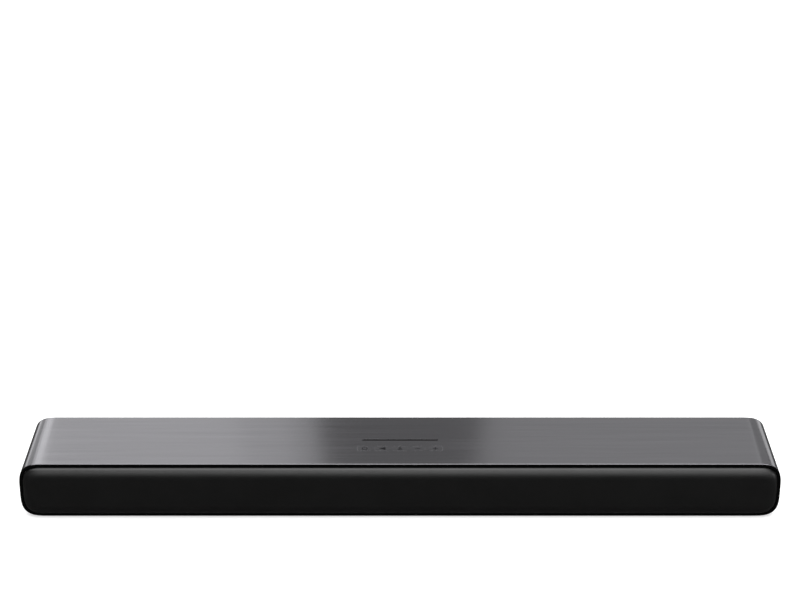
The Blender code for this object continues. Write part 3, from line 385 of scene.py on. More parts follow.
class Effects:
    """The surface effects that the finishes share, each a node group that is built once."""

    def __init__(self) -> None:
        """Builds every group."""
        self.brushing = self._brushing()
        self.grain = self._grain()
        self.patches = self._patches()
        self.knit = self._knit()

    def _brushing(self) -> bpy.types.NodeTree:
        """Fine lines along X and Z that follow each other across Y: two noises stretched lengthwise."""
        graph = new_group(
            "brushing",
            {"Place": ("Vector", None), "Length": ("Float", 12.0), "Across": ("Float", 1600.0)},
            ("Lines", "Bands"),
        )
        ends = graph.node("NodeGroupInput").outputs
        stretch = graph.node("CombineXYZ", {0: ends["Length"], 1: ends["Across"], 2: ends["Length"]})
        place = graph.node("VectorMath", {0: ends["Place"], 1: stretch.outputs[0]}, operation="MULTIPLY")
        lines = graph.node(
            "TexNoise", {"Vector": place.outputs[0], "Scale": 1.0, "Detail": 3.0, "Roughness": 0.65}
        )
        wide = graph.scaled(place.outputs[0], (0.45, 0.16, 0.45))
        bands = graph.node("TexNoise", {"Vector": wide, "Scale": 1.0, "Detail": 2.0, "Roughness": 0.5})
        graph.node("NodeGroupOutput", {"Lines": lines.outputs[0], "Bands": bands.outputs[0]})
        return graph.tree

    def _grain(self) -> bpy.types.NodeTree:
        """A moulded texture: small rounded pips from a cell pattern, broken up by noise."""
        graph = new_group(
            "moulded_grain", {"Place": ("Vector", None), "Pips": ("Float", 2200.0)}, ("Height",)
        )
        ends = graph.node("NodeGroupInput").outputs
        cells = graph.node(
            "TexVoronoi", {"Vector": ends["Place"], "Scale": ends["Pips"]}, feature="SMOOTH_F1"
        )
        noise = graph.node("TexNoise", {"Vector": ends["Place"], "Scale": ends["Pips"], "Detail": 2.0})
        height = graph.maths("ADD", cells.outputs["Distance"], noise.outputs[0])
        graph.node("NodeGroupOutput", {"Height": graph.maths("MULTIPLY", height, 0.5)})
        return graph.tree

    def _patches(self) -> bpy.types.NodeTree:
        """Slow, cloudy variation, as where a surface has been handled or has gathered dust."""
        graph = new_group("soft_patches", {"Place": ("Vector", None), "Size": ("Float", 14.0)}, ("Amount",))
        ends = graph.node("NodeGroupInput").outputs
        noise = graph.node(
            "TexNoise", {"Vector": ends["Place"], "Scale": ends["Size"], "Detail": 4.0, "Roughness": 0.6}
        )
        amount = graph.between(noise.outputs[0], -0.6, 1.6)
        graph.node("NodeGroupOutput", {"Amount": amount})
        return graph.tree

    def _knit(self) -> bpy.types.NodeTree:
        """Knitted cloth: columns of small V-shaped stitches, whose sides lean one way and the other.

        The height is the product of a wave across the columns, whose phase swings with the rows, and a slower
        wave along them.
        """
        graph = new_group(
            "knit", {"Place": ("Vector", None), "Stitches": ("Float", 1500.0)}, ("Height", "Thread")
        )
        ends = graph.node("NodeGroupInput").outputs
        apart = graph.node("SeparateXYZ", {0: ends["Place"]}).outputs
        across = graph.maths("MULTIPLY", apart[0], ends["Stitches"])
        along = graph.maths("MULTIPLY", apart[1], ends["Stitches"])
        turn = graph.maths("MULTIPLY", across, 2 * math.pi)
        lean = graph.maths("MULTIPLY", graph.maths("SINE", turn), 0.35)
        row = graph.maths("MULTIPLY", graph.maths("ADD", along, lean), 2 * math.pi)
        column = graph.maths("ABSOLUTE", graph.maths("SINE", graph.maths("MULTIPLY", across, math.pi)))
        loops = graph.between(graph.maths("SINE", row), 0.35, 1.0)
        height = graph.maths("MULTIPLY", column, loops)
        fuzz = graph.node("TexNoise", {"Vector": ends["Place"], "Scale": 900.0, "Detail": 3.0})
        graph.node("NodeGroupOutput", {"Height": height, "Thread": fuzz.outputs[0]})
        return graph.tree


# ---------------------------------------------------------------- finishes


class Place(Enum):
    """Where a finish reads its pattern's coordinates."""

    OBJECT = "Object"
    UV = "UV"


@dataclass(frozen=True)
class Finish:
    """A surface finish: one Principled shader, with its pattern fed by the shared effects.

    slot is the record's material slot that the finish stands for; it is not used.
    """

    name: str
    slot: str
    colour: Colour
    roughness: float
    metallic: float = 0.0
    specular: float = 0.5
    place: Place = Place.OBJECT

    def make(self, effects: Effects) -> bpy.types.Material:
        """Builds the material.

        Args:
            effects: the shared node groups.

        Returns:
            The new material.
        """
        material = bpy.data.materials.new(self.name)
        material.use_nodes = True
        graph = Graph(material.node_tree)
        shader = graph.node(
            "BsdfPrincipled",
            {
                "Base Color": (*self.colour, 1),
                "Roughness": self.roughness,
                "Metallic": self.metallic,
                "Specular IOR Level": self.specular,
            },
        )
        graph.node("OutputMaterial", {"Surface": shader.outputs[0]})
        place = graph.node("TexCoord").outputs[self.place.value]
        self.pattern(graph, shader, place, effects)
        return material

    def pattern(
        self, graph: Graph, shader: bpy.types.Node, place: bpy.types.NodeSocket, effects: Effects
    ) -> None:
        """Wires the finish's own pattern into the shader: here a faint, cloudy change of gloss."""
        self.cloud(graph, shader, place, effects, 0.06)

    def cloud(
        self,
        graph: Graph,
        shader: bpy.types.Node,
        place: bpy.types.NodeSocket,
        effects: Effects,
        swing: float,
        size: float = 14.0,
    ) -> bpy.types.NodeSocket:
        """Lets the roughness drift by swing either way in soft patches, and gives the patches."""
        patches = graph.node("Group", {"Place": place, "Size": size}, node_tree=effects.patches)
        amount = patches.outputs[0]
        rough = graph.between(amount, self.roughness - swing, self.roughness + swing)
        graph.tree.links.new(rough, shader.inputs["Roughness"])
        return amount

    def shade(
        self, graph: Graph, shader: bpy.types.Node, share: bpy.types.NodeSocket, depth: float
    ) -> None:
        """Darkens and lightens the colour by depth as share runs from 0 to 1."""
        dark = tuple(channel * (1 - depth) for channel in self.colour)
        light = tuple(min(channel * (1 + depth), 1.0) for channel in self.colour)
        graph.tree.links.new(graph.tinted(share, dark, light), shader.inputs["Base Color"])

    def raised(
        self, graph: Graph, shader: bpy.types.Node, height: bpy.types.NodeSocket, depth: float
    ) -> None:
        """Feeds a height into the shader's normal, depth metres from its lowest to its highest."""
        bump = graph.node("Bump", {"Height": height, "Distance": depth, "Strength": 1.0})
        graph.tree.links.new(bump.outputs[0], shader.inputs["Normal"])


@dataclass(frozen=True)
class BrushedLacquer(Finish):
    """Metallic lacquer brushed along the bar."""

    length: float = 12.0
    across: float = 1500.0
    depth: float = 0.008 * MM

    def pattern(
        self, graph: Graph, shader: bpy.types.Node, place: bpy.types.NodeSocket, effects: Effects
    ) -> None:
        """Lines vary the colour, the gloss and the surface's lie across the brushing."""
        brushed = graph.node(
            "Group",
            {"Place": place, "Length": self.length, "Across": self.across},
            node_tree=effects.brushing,
        )
        lines, bands = brushed.outputs
        both = graph.maths("ADD", graph.maths("MULTIPLY", lines, 0.6), graph.maths("MULTIPLY", bands, 0.4))
        steep = graph.node("MapRange", {"Value": both, "From Min": 0.3, "From Max": 0.7}).outputs[0]
        self.shade(graph, shader, steep, 0.09)
        patches = graph.node("Group", {"Place": place, "Size": 9.0}, node_tree=effects.patches)
        uneven = graph.maths("MULTIPLY", patches.outputs[0], 0.03)
        rough = graph.maths("ADD", graph.between(steep, self.roughness - 0.03, self.roughness + 0.03), uneven)
        graph.tree.links.new(rough, shader.inputs["Roughness"])
        self.raised(graph, shader, lines, self.depth)


@dataclass(frozen=True)
class MouldedPlastic(Finish):
    """Plastic with a fine moulded grain."""

    pips: float = 2200.0
    depth: float = 0.03 * MM

    def pattern(
        self, graph: Graph, shader: bpy.types.Node, place: bpy.types.NodeSocket, effects: Effects
    ) -> None:
        """The grain lifts the surface, and dusty patches change its gloss and its shade."""
        patches = self.cloud(graph, shader, place, effects, 0.07)
        self.shade(graph, shader, patches, 0.18)
        grain = graph.node("Group", {"Place": place, "Pips": self.pips}, node_tree=effects.grain)
        self.raised(graph, shader, grain.outputs[0], self.depth)


@dataclass(frozen=True)
class KnittedCloth(Finish):
    """Acoustic cloth: small stitches, with a short pile that catches light at a glancing angle."""

    stitches: float = 1300.0
    depth: float = 0.04 * MM
    sheen: float = 0.03

    def pattern(
        self, graph: Graph, shader: bpy.types.Node, place: bpy.types.NodeSocket, effects: Effects
    ) -> None:
        """Stitches lift the surface, painted shade darkens the gaps between them, and threads vary a little.
        """
        knit = graph.node("Group", {"Place": place, "Stitches": self.stitches}, node_tree=effects.knit)
        height, thread = knit.outputs
        both = graph.maths("MULTIPLY", graph.maths("ADD", height, thread), 0.5)
        # The colour mixes painted shade in the stitch gaps, following the height, with the threads' own
        # random variation.
        self.shade(graph, shader, both, 0.45)
        self.cloud(graph, shader, place, effects, 0.05, 20.0)
        self.raised(graph, shader, height, self.depth)
        shader.inputs["Sheen Weight"].default_value = self.sheen
        shader.inputs["Sheen Roughness"].default_value = 0.35


@dataclass(frozen=True)
class Polished(Finish):
    """A polished surface under a thin clear coat, with faint smears."""

    coat: float = 0.5

    def pattern(
        self, graph: Graph, shader: bpy.types.Node, place: bpy.types.NodeSocket, effects: Effects
    ) -> None:
        """Smears change the gloss in small patches."""
        self.cloud(graph, shader, place, effects, 0.04, 40.0)
        shader.inputs["Coat Weight"].default_value = self.coat
        shader.inputs["Coat Roughness"].default_value = 0.08


@dataclass(frozen=True)
class SpottedMetal(Finish):
    """Plated or cast metal: fine speckle in its colour and its gloss."""

    spots: float = 400.0
    depth: float = 0.01 * MM

    def pattern(
        self, graph: Graph, shader: bpy.types.Node, place: bpy.types.NodeSocket, effects: Effects
    ) -> None:
        """Speckle varies the colour, and soft patches the gloss."""
        grain = graph.node("Group", {"Place": place, "Pips": self.spots}, node_tree=effects.grain)
        self.shade(graph, shader, grain.outputs[0], 0.12)
        self.cloud(graph, shader, place, effects, 0.08, 60.0)
        self.raised(graph, shader, grain.outputs[0], self.depth)


@dataclass(frozen=True)
class Laminate(Finish):
    """Circuit board: resist over copper tracks, which show as paler, slightly raised lines."""

    tracks: float = 330.0
    track_colour: Colour = (0.02, 0.16, 0.06)

    def pattern(
        self, graph: Graph, shader: bpy.types.Node, place: bpy.types.NodeSocket, effects: Effects
    ) -> None:
        """Squared cells give the tracks: where a cell's edge is near, there is copper under the resist."""
        cells = graph.node(
            "TexVoronoi",
            {"Vector": place, "Scale": self.tracks, "Randomness": 0.8},
            feature="F1",
            distance="MANHATTAN",
        )
        track = graph.node(
            "MapRange", {"Value": cells.outputs["Distance"], "From Min": 0.42, "From Max": 0.5}
        ).outputs[0]
        graph.tree.links.new(graph.tinted(track, self.colour, self.track_colour), shader.inputs["Base Color"])
        self.cloud(graph, shader, place, effects, 0.05)
        self.raised(graph, shader, track, 0.03 * MM)


BRUSHED_SHELL = BrushedLacquer("brushed_shell", "brushed_shell", (0.25, 0.247, 0.262), 0.13, 0.92)
GLOSS_TRIM = Polished("gloss_trim", "gloss_trim", (0.001, 0.001, 0.001), 0.16, specular=0.12, coat=0.0)
INK = Finish("icon_ink", "gloss_trim", (0.004, 0.004, 0.005), 0.5, specular=0.15)
CLOTH = KnittedCloth(
    "grille_cloth", "grille_cloth", (0.0014, 0.0014, 0.0014), 0.35, specular=0.6, place=Place.UV
)
BLACK_PLASTIC = MouldedPlastic("black_plastic", "black_plastic", (0.014, 0.014, 0.015), 0.5, specular=0.4)
RUBBER = MouldedPlastic("foot_rubber", "foot_rubber", (0.017, 0.017, 0.017), 0.75, specular=0.3, pips=3000.0)
ROLL_RUBBER = MouldedPlastic("surround_rubber", "surround_rubber", (0.01, 0.01, 0.01), 0.5, depth=0.01 * MM)
PAPER = MouldedPlastic("cone_paper", "cone_paper", (0.03, 0.03, 0.032), 0.8, pips=900.0, depth=0.08 * MM)
STEEL = SpottedMetal("plated_steel", "plated_steel", (0.6, 0.6, 0.6), 0.32, 1.0)
FERRITE = SpottedMetal("ferrite", "ferrite", (0.045, 0.045, 0.05), 0.65, 0.0, depth=0.05 * MM)
ALUMINIUM = SpottedMetal("heat_sink", "heat_sink", (0.7, 0.7, 0.72), 0.38, 1.0)
BOARD = Laminate("circuit_board", "circuit_board", (0.008, 0.085, 0.03), 0.35)
TAPE = Polished("winding_tape", "winding_tape", (0.7, 0.47, 0.05), 0.45)
SLEEVE = Finish("wire_sleeve", "wire_sleeve", (0.32, 0.015, 0.015), 0.5)
FINISHES = (
    BRUSHED_SHELL,
    GLOSS_TRIM,
    INK,
    CLOTH,
    BLACK_PLASTIC,
    RUBBER,
    ROLL_RUBBER,
    PAPER,
    STEEL,
    FERRITE,
    ALUMINIUM,
    BOARD,
    TAPE,
    SLEEVE,
)


# ---------------------------------------------------------------- sub-assemblies


@dataclass
class Workshop:
    """What every sub-assembly needs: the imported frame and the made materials."""

    frame: dict
    materials: dict[str, bpy.types.Material] = field(default_factory=dict)

    def __post_init__(self) -> None:
        """Makes each finish once."""
        effects = Effects()
        self.materials = {finish.name: finish.make(effects) for finish in FINISHES}

    def box(self, node: str) -> tuple[Vector, Vector]:
        """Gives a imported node's lowest and highest corner."""
        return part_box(node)

    def middle(self, node: str) -> Vector:
        """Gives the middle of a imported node's box."""
        low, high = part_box(node)
        return (low + high) / 2

    def outline(self, node: str, left_off: int = 0) -> RoundedRectangle:
        """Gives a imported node's outline seen from the front, with the bar's own corners."""
        low, high = self.box(node)
        return RoundedRectangle(
            ((low.x + high.x) / 2, (low.z + high.z) / 2),
            high.x - low.x,
            high.z - low.z,
            CORNER_REACH,
            CORNER_STEPS,
            CORNER_POWER,
            left_off=left_off,
        )

    def dress(self, piece: bpy.types.Object, finish: Finish, body: str, *nodes: str) -> bpy.types.Object:
        """Gives a new piece its finish and its body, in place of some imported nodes.

        Args:
            piece: the finished mesh object.
            finish: its finish.
            body: the body that it moves with.
            *nodes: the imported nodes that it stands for.

        Returns:
            The same object.
        """
        piece.data.materials.clear()
        piece.data.materials.append(self.materials[finish.name])
        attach(piece, body)
        if nodes:
            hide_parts(*nodes)
        LOG.info("%s: %d faces, on %s", piece.name, len(piece.data.polygons), body)
        return piece

    def recoat(self, node: str, finish: Finish) -> None:
        """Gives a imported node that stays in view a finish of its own."""
        mesh = self.frame["nodes"][node].data
        mesh.materials.clear()
        mesh.materials.append(self.materials[finish.name])


@dataclass
class Wrap:
    """The brushed cover: top, ends and lower corners in one bent sheet."""

    shop: Workshop
    wall: float = 1.7 * MM
    edge: float = 0.45 * MM
    window_gap: float = 0.06 * MM
    window_edge: float = 0.03 * MM
    left_off: int = 5
    steps: int = 4

    def windows(self, names: Sequence[str]) -> list[bpy.types.Object]:
        """Makes a cutter for each key and one for the marker strip's slit."""
        high = self.shop.box("top_cover")[1]
        through = np.array([[0.0, high.z - 2 * self.wall], [0.0, high.z + self.wall]])
        cutters = []
        for name in names:
            middle = self.shop.middle("key_" + name)
            gap = 2 * self.window_gap
            shape = RoundedRectangle(
                (middle.x, middle.y),
                Keys.width + gap,
                Keys.length + gap,
                Keys.radius + self.window_gap,
                8,
                support=0.1 * MM,
            )
            cutters.append(swept("window_" + name, shape.inset, through, Plane.TOP))
        middle = self.shop.middle("key_marker_strip")
        slit = Stadium((middle.x, middle.y), Marker.half, Marker.width / 2 + self.window_gap)
        cutters.append(swept("marker_slit", slit.inset, through, Plane.TOP))
        return cutters

    def build(self, names: Sequence[str]) -> None:
        """Sweeps the wall's rounded section along the outline, open below, then cuts the windows.

        Args:
            names: the keys' names.
        """
        low, high = self.shop.box("top_cover")
        section = rounded_section(
            [
                (0.0, low.y, self.edge),
                (0.0, high.y, self.edge / 2),
                (self.wall, high.y, 0.2 * MM),
                (self.wall, low.y, 0.2 * MM),
            ],
            self.steps,
        )
        support = np.array([[0.0, low.y + 2 * self.edge], [0.0, high.y - 2 * self.edge]])
        first_arc = self.steps + 1
        section = np.vstack([section[:first_arc], support, section[first_arc:]])
        outline = self.shop.outline("top_cover", self.left_off)
        cover = swept("brushed_wrap", outline.inset, section, Plane.FRONT, ring=True, open_path=True)
        cut_out(cover, self.windows(names))
        cover.data.set_sharp_from_angle(angle=SHARP)
        eased(cover, self.window_edge, 60)
        self.shop.dress(cover, BRUSHED_SHELL, "casing", "top_cover")


@dataclass
class Keys:
    """The five caps in the top, their stems and the marks on them."""

    shop: Workshop
    width: float = 16 * MM
    length: float = 10 * MM
    radius: float = 2 * MM
    edge: float = 0.03 * MM
    cap: float = 2.4 * MM
    flange: float = 0.9 * MM
    stem: float = 4 * MM
    ink: float = 0.03 * MM
    line: float = 1.0 * MM
    icon: float = 3.1 * MM

    def build(self, names: Sequence[str]) -> None:
        """Builds a cap, a stem and a mark for each key."""
        marks = {
            "power": self.power_mark,
            "source": self.source_mark,
            "pairing": self.pairing_mark,
            "volume_down": self.minus_mark,
            "volume_up": self.plus_mark,
        }
        for name in names:
            self.make_cap(name)
            strokes = marks[name]()
            self.make_mark(name, strokes)

    def make_cap(self, name: str) -> None:
        """A cap with eased edges over a wider flange, and a square stem below."""
        node = "key_" + name
        low, high = self.shop.box(node)
        middle = self.shop.middle(node)
        section = rounded_section(
            [
                (0.6 * MM, high.z, 0.0),
                (0.0, high.z, self.edge),
                (0.0, high.z - self.cap, 0.0),
                (-self.flange / 2, high.z - self.cap, 0.0),
                (-self.flange / 2, high.z - self.cap - self.flange, 0.0),
                (0.6 * MM, high.z - self.cap - self.flange, 0.0),
            ],
            4,
            closed=False,
        )
        shape = RoundedRectangle(
            (middle.x, middle.y), self.width, self.length, self.radius, 8, support=0.1 * MM
        )
        cap = swept(node + "_cap", shape.inset, section, Plane.TOP)
        self.shop.dress(cap, BRUSHED_SHELL, node, node)
        stem_top = high.z - self.cap - self.flange
        stem_shape = RoundedRectangle(
            (middle.x, middle.y), self.stem, self.stem, 0.5 * MM, 4, support=0.1 * MM
        )
        stem_section = rounded_section(
            [(0.0, stem_top - 0.01 * MM, 0.0), (0.0, low.z, 0.3 * MM), (self.stem / 3, low.z, 0.0)],
            3,
            closed=False,
        )
        stem = swept(node + "_stem", stem_shape.inset, stem_section, Plane.TOP)
        self.shop.dress(stem, BLACK_PLASTIC, node)

    def make_mark(self, name: str, strokes: Sequence[np.ndarray]) -> None:
        """Prints a mark: each stroke is a closed outline, carried up by the ink's thickness.

        Args:
            name: the key's name.
            strokes: outlines about the mark's own middle, in metres.
        """
        node = "key_" + name
        high = self.shop.box(node)[1]
        middle = self.shop.middle(node)
        points, faces, start = [], [], 0
        for stroke in strokes:
            count = len(stroke)
            flat = stroke + np.array([middle.x, middle.y])
            for z in (high.z - self.ink, high.z + self.ink):
                points.append(np.column_stack([flat, np.full(count, z)]))
            faces += (grid_faces(2, count, False, True) + start).tolist()
            faces += [list(range(start, start + count))[::-1], list(range(start + count, start + 2 * count))]
            start += 2 * count
        mark = new_piece(node + "_mark", np.vstack(points), faces)
        self.shop.dress(mark, INK, node)

    def bar(self, start: tuple[float, float], end: tuple[float, float]) -> np.ndarray:
        """A straight stroke, as four corners running anticlockwise."""
        first, last = np.array(start), np.array(end)
        along = (last - first) / np.linalg.norm(last - first)
        side = np.array([-along[1], along[0]]) * self.line / 2
        return np.array([first - side, last - side, last + side, first + side])

    def curve(self, radius: float, start: float, end: float, centre: tuple[float, float]) -> np.ndarray:
        """A curved stroke from start to end, in degrees, out along one radius and back along another."""
        turn = np.radians(np.linspace(start, end, 15))
        ring = np.stack([np.cos(turn), np.sin(turn)], axis=1)
        outer = ring * (radius + self.line / 2)
        inner = ring[::-1] * (radius - self.line / 2)
        return np.vstack([outer, inner]) + np.array(centre)

    def power_mark(self) -> list[np.ndarray]:
        """A broken ring with a bar in its gap."""
        reach = self.icon
        return [
            self.curve(reach * 0.85, 125, 415, (0, 0)),
            self.bar((0, reach * 0.25), (0, reach * 1.1)),
        ]

    def source_mark(self) -> list[np.ndarray]:
        """A solid arrowhead that points left."""
        reach = self.icon
        return [np.array([[-reach * 1.25, 0], [reach * 1.1, -reach], [reach * 1.1, reach]])]

    def pairing_mark(self) -> list[np.ndarray]:
        """A tall mast with a small wave at each side of its foot."""
        reach, foot, tip = self.icon, self.icon * 0.3, self.icon * 0.15
        centre = (0.0, -reach * 0.45)
        mast = [(-foot, -reach), (foot, -reach), (tip, reach * 1.25), (-tip, reach * 1.25)]
        return [
            np.array(mast),
            self.curve(reach * 0.62, -40, 40, centre),
            self.curve(reach * 0.62, 140, 220, centre),
        ]

    def minus_mark(self) -> list[np.ndarray]:
        """A level stroke."""
        return [self.bar((-self.icon * 0.9, 0), (self.icon * 0.9, 0))]

    def plus_mark(self) -> list[np.ndarray]:
        """A level stroke crossed by two upright halves."""
        reach, gap = self.icon * 0.9, self.line / 2
        return [
            self.bar((-reach, 0), (reach, 0)),
            self.bar((0, gap), (0, reach)),
            self.bar((0, -reach), (0, -gap)),
        ]


@dataclass
class Marker:
    """The thin dark strip set into the top behind the keys."""

    shop: Workshop
    half: float = 39.8 * MM
    width: float = 2.7 * MM
    lip: float = 1 * MM

    def build(self) -> None:
        """Builds the strip with a wider foot under the cover."""
        low, high = self.shop.box("key_marker_strip")
        middle = self.shop.middle("key_marker_strip")
        shape = Stadium((middle.x, middle.y), self.half, self.width / 2)
        section = rounded_section(
            [
                (0.3 * MM, high.z, 0.0),
                (0.0, high.z, 0.12 * MM),
                (0.0, low.z + self.lip, 0.0),
                (-self.lip, low.z + self.lip, 0.0),
                (-self.lip, low.z, 0.0),
                (0.3 * MM, low.z, 0.0),
            ],
            3,
            closed=False,
        )
        strip = swept("marker_strip", shape.inset, section, Plane.TOP)
        self.shop.dress(strip, GLOSS_TRIM, "casing", "key_marker_strip")


@dataclass
class Front:
    """The gloss trim frame and the cloth grille inside it."""

    shop: Workshop
    face: float = 3.4 * MM
    skirt: tuple[float, float] = (2.3 * MM, 3.3 * MM)
    lip: float = 0.7 * MM
    gap: float = 0.3 * MM
    bulge: float = 12 * MM
    thread: float = 0.6 * MM

    def build(self) -> None:
        """Builds both pieces."""
        self.make_trim()
        self.make_cloth()

    def make_trim(self) -> None:
        """A face ring with rounded edges and a skirt that reaches back inside the wrap."""
        low, high = self.shop.box("trim_frame")
        back = low.y + self.lip
        outer, inner = self.skirt
        section = rounded_section(
            [
                (0.0, low.y, 0.45 * MM),
                (0.0, back, 0.15 * MM),
                (outer, back, 0.0),
                (outer, high.y, 0.1 * MM),
                (inner, high.y, 0.1 * MM),
                (inner, back, 0.0),
                (self.face, back, 0.1 * MM),
                (self.face, low.y, 0.3 * MM),
            ],
            4,
        )
        outline = self.shop.outline("trim_frame")
        trim = swept("gloss_trim", outline.inset, section, Plane.FRONT, ring=True)
        self.shop.dress(trim, GLOSS_TRIM, "casing", "trim_frame")

    def pillow(self, grow: float) -> Section:
        """The cloth's section: a straight rim, then a quarter ellipse to the flat face.

        Args:
            grow: how far inside the cloth's outer face this section runs.

        Returns:
            Rows of (inset, Y).
        """
        low, high = self.shop.box("grille_cloth")
        start = self.shop.box("trim_frame")[0].y + 1 * MM
        first = self.face + self.gap + grow
        turn = np.radians(np.linspace(0, 90, 15))
        inset = first + self.bulge * (1 - np.cos(turn))
        along = start + (low.y + grow - start) * np.sin(turn)
        rim = [[first, high.y], [first, (high.y + start) / 2]]
        flat = [[first + self.bulge + 0.5 * MM, low.y + grow]]
        return np.vstack([rim, np.column_stack([inset, along]), flat])

    def make_cloth(self) -> None:
        """Builds the cloth as one closed skin, its outer face and its inner face joined at the rim.

        The UV map is the cloth laid flat: each row keeps its distance along the surface from the flat face.
        """
        outside, inside = self.pillow(0.0), self.pillow(self.thread)
        section = np.vstack([outside[::-1], inside])
        outline = self.shop.outline("trim_frame")
        cloth = swept("cloth", outline.inset, section, Plane.FRONT)
        apart = np.linalg.norm(np.diff(outside, axis=0), axis=1)
        run = np.concatenate([[0.0], np.cumsum(apart)])
        flat_inset = outside[-1, 0]
        laid = flat_inset - (run[-1] - run)
        laid = np.concatenate([laid[::-1], laid])
        cut = np.stack([outline.inset(float(inset)) for inset in laid])
        self.lay_flat(cloth, cut.reshape(-1, 2))
        rim = outline.inset(float(laid.min()))
        self.shop.dress(cloth, CLOTH, "casing", "grille_cloth")

    def lay_flat(self, cloth: bpy.types.Object, places: np.ndarray) -> None:
        """Writes one UV place for each point of the mesh to all the corners that meet there."""
        layer = cloth.data.uv_layers.new(name="laid_flat")
        corners = np.empty(len(cloth.data.loops), dtype=np.int32)
        cloth.data.loops.foreach_get("vertex_index", corners)
        layer.data.foreach_set("uv", places[corners].astype(np.float32).ravel())


@dataclass
class Casing:
    """The back, the underside, the feet and the screws."""

    shop: Workshop
    eased_parts: dict[str, float] = field(
        default_factory=lambda: {
            "rear_panel": 0.3 * MM,
            "bottom_cover": 0.25 * MM,
            "foot_front_left": 0.3 * MM,
            "foot_front_right": 0.3 * MM,
            "foot_rear_left": 0.3 * MM,
            "foot_rear_right": 0.3 * MM,
        }
    )

    def build(self) -> None:
        """Eases the edges of what shows, and recoats what is inside."""
        for node, width in self.eased_parts.items():
            finish = RUBBER if node.startswith("foot") else BLACK_PLASTIC
            self.shop.dress(moulded_copy(self.shop.frame, node, width), finish, "casing")
        inner = ("front_baffle", "grille_frame", "key_guide", "chamber_wall_left", "chamber_wall_right")
        for node in inner + ("bass_port_left", "bass_port_right"):
            self.shop.recoat(node, BLACK_PLASTIC)
        for end in ("front", "rear"):
            for side in ("left", "right"):
                self.shop.recoat(f"cover_screw_{end}_{side}", STEEL)


@dataclass
class Drivers:
    """The two loudspeaker drivers behind the grille."""

    shop: Workshop

    def build(self) -> None:
        """Recoats each piece of both drivers."""
        finishes = {
            "basket": STEEL,
            "yoke": STEEL,
            "magnet": FERRITE,
            "surround": ROLL_RUBBER,
            "cone": PAPER,
            "dust_cap": PAPER,
        }
        for side in ("left", "right"):
            for part, finish in finishes.items():
                self.shop.recoat(f"driver_{side}_{part}", finish)
            for row in ("bottom", "top"):
                for end in ("left", "right"):
                    self.shop.recoat(f"driver_{side}_screw_{row}_{end}", STEEL)


@dataclass
class Electronics:
    """The boards, the sockets and the leads."""

    shop: Workshop
    finishes: dict[str, Finish] = field(
        default_factory=lambda: {
            "main_board": BOARD,
            "power_board": BOARD,
            "key_board": BOARD,
            "indicator_board": BOARD,
            "wireless_module": BOARD,
            "heat_sink": ALUMINIUM,
            "transformer": TAPE,
            "speaker_lead_left": SLEEVE,
            "speaker_lead_right": SLEEVE,
            "video_socket": STEEL,
            "usb_socket": STEEL,
            "optical_socket": BLACK_PLASTIC,
            "aux_socket": BLACK_PLASTIC,
            "mains_inlet": BLACK_PLASTIC,
        }
    )

    def build(self) -> None:
        """Recoats each piece."""
        for node, finish in self.finishes.items():
            self.shop.recoat(node, finish)


# ---------------------------------------------------------------- floor, lights and camera


@dataclass(frozen=True)
class SoftLight:
    """A rectangular light that faces a point."""

    name: str
    place: tuple[float, float, float]
    target: tuple[float, float, float]
    size: tuple[float, float]
    watts: float

    def build(self) -> None:
        """Hangs the light."""
        data = bpy.data.lights.new(self.name, "AREA")
        data.shape = "RECTANGLE"
        data.size, data.size_y = self.size
        data.energy = self.watts
        lamp = bpy.data.objects.new(self.name, data)
        lamp.location = self.place
        aim = Vector(self.target) - Vector(self.place)
        lamp.rotation_euler = aim.to_track_quat("-Z", "Y").to_euler()
        bpy.context.scene.collection.objects.link(lamp)


def back_light(
    name: str,
    place: tuple[float, float],
    target: tuple[float, float],
    size: tuple[float, float],
    watts: float,
) -> SoftLight:
    """Gives a light that hangs behind the bar. Its place and the point that it faces are X and Z."""
    return SoftLight(name, (place[0], BACK_LIGHT_Y, place[1]), (target[0], 0, target[1]), size, watts)


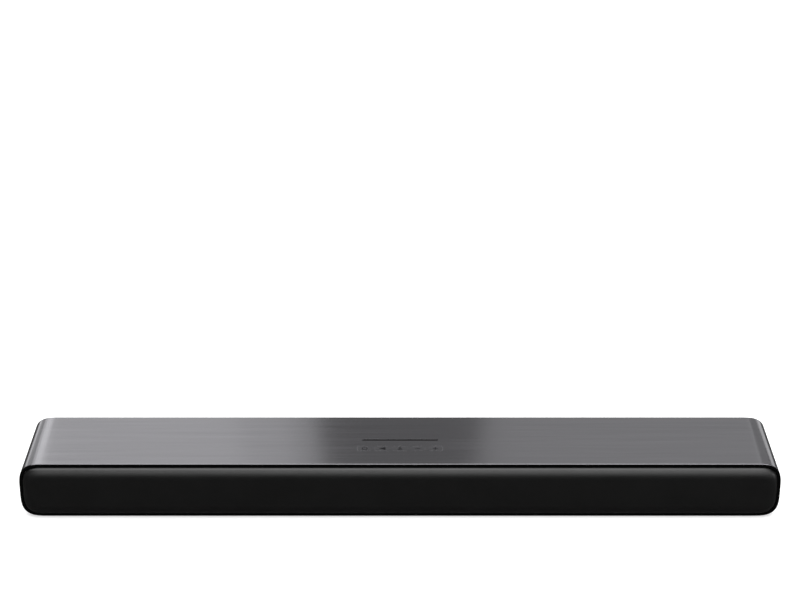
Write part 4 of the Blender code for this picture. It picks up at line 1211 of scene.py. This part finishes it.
@dataclass
class Studio:
    """The pale floor, the soft lights and the camera."""

    lens: float = 89.8
    camera_place: tuple[float, float, float] = (0.0, -1.8936, 1.1097)
    pitch: float = 24.835
    floor_half: float = 12.0
    floor_white: float = 0.8
    floor_glow: float = 0.5
    floor_in_gloss: float = 0.05
    surround_glow: float = 0.18
    lights: tuple[SoftLight, ...] = (
        SoftLight("overhead_softbox", (0, 0.3, 3.0), (0, 0.3, 0), (4.0, 4.0), 165),
        SoftLight("front_high_softbox", (0.6, -2.4, 2.2), (0, 0, 0), (4.0, 1.6), 42),
        SoftLight("front_low_panel", (0.3, -3.2, 1.1), (0, 0, 0.2), (4.0, 1.2), 16),
        back_light("left_panel", (-0.42, 0.72), (-0.1, 0.06), (0.56, 0.6), 0.58),
        back_light("left_middle_panel", (-0.445, 0.72), (-0.1, 0.06), (0.51, 0.6), 0.15),
        back_light("left_outer_panel", (-0.49, 0.72), (-0.1, 0.06), (0.42, 0.6), 0.13),
        back_light("left_strip", (-0.8, 0.68), (-0.39, 0.06), (0.18, 0.4), 0.205),
        back_light("left_inner_strip", (-0.73, 0.68), (-0.39, 0.06), (0.16, 0.4), 0.13),
        back_light("left_side_fill", (-1.0, 0.34), (-0.4, 0.06), (0.3, 0.6), 0.27),
        back_light("right_panel", (0.42, 0.72), (0.1, 0.06), (0.56, 0.6), 0.37),
        SoftLight("right_front_fill", (1.6, -0.5, 0.25), (0.4, -0.05, 0.03), (0.4, 0.4), 2.5),
        back_light("right_side_fill", (0.83, 0.6), (0.4, 0.06), (0.3, 0.6), 0.1),
        back_light("left_low_strip", (-1.15, 0.14), (-0.4, 0.05), (0.5, 0.28), 0.26),
        back_light("right_low_strip", (1.15, 0.2), (0.4, 0.05), (0.5, 0.4), 0.51),
    )

    def build(self) -> None:
        """Builds all of them."""
        self.make_floor()
        self.make_surround()
        for light in self.lights:
            light.build()
        self.make_camera()

    def make_floor(self) -> None:
        """A wide, level, pale table, softly lit from inside, that shines only faintly in glossy surfaces."""
        half = self.floor_half
        corners = np.array([[-half, -half, 0], [half, -half, 0], [half, half, 0], [-half, half, 0]])
        floor = new_piece("floor", corners, [[0, 1, 2, 3]])
        material = bpy.data.materials.new("pale_floor")
        material.use_nodes = True
        graph = Graph(material.node_tree)
        white = (self.floor_white,) * 3
        pale = graph.node(
            "BsdfPrincipled",
            {
                "Base Color": (*white, 1),
                "Roughness": 0.9,
                "Specular IOR Level": 0.0,
                "Emission Color": (1, 1, 1, 1),
                "Emission Strength": self.floor_glow,
            },
        )
        dark = graph.node("BsdfDiffuse", {"Color": (0, 0, 0, 1)})
        glossy = graph.node("LightPath").outputs["Is Glossy Ray"]
        share = graph.maths("MULTIPLY", glossy, 1 - self.floor_in_gloss)
        both = graph.node("MixShader", {0: share, 1: pale.outputs[0], 2: dark.outputs[0]})
        graph.node("OutputMaterial", {"Surface": both.outputs[0]})
        floor.data.materials.append(material)

    def make_surround(self) -> None:
        """An even, dim glow from all round."""
        world = bpy.data.worlds.new("studio")
        world.use_nodes = True
        glow = world.node_tree.nodes["Background"]
        glow.inputs["Color"].default_value = (1, 1, 1, 1)
        glow.inputs["Strength"].default_value = self.surround_glow
        bpy.context.scene.world = world
        bpy.context.scene.view_settings.view_transform = "Standard"

    def make_camera(self) -> None:
        """A long lens that looks down at the bar from the front."""
        data = bpy.data.cameras.new("camera")
        data.lens = self.lens
        data.sensor_width = 36
        camera = bpy.data.objects.new("camera", data)
        camera.location = self.camera_place
        camera.rotation_euler = (math.radians(90 - self.pitch), 0, 0)
        bpy.context.scene.collection.objects.link(camera)
        bpy.context.scene.camera = camera


def main() -> None:
    """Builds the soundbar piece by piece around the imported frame."""
    logging.basicConfig(level=logging.INFO, format="%(message)s")
    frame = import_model()
    shop = Workshop(frame)
    names = ("power", "source", "pairing", "volume_down", "volume_up")
    Studio().build()
    Wrap(shop).build(names)
    Keys(shop).build(names)
    Marker(shop).build()
    Front(shop).build()
    Casing(shop).build()
    Drivers(shop).build()
    Electronics(shop).build()


if __name__ == "__main__":
    main()
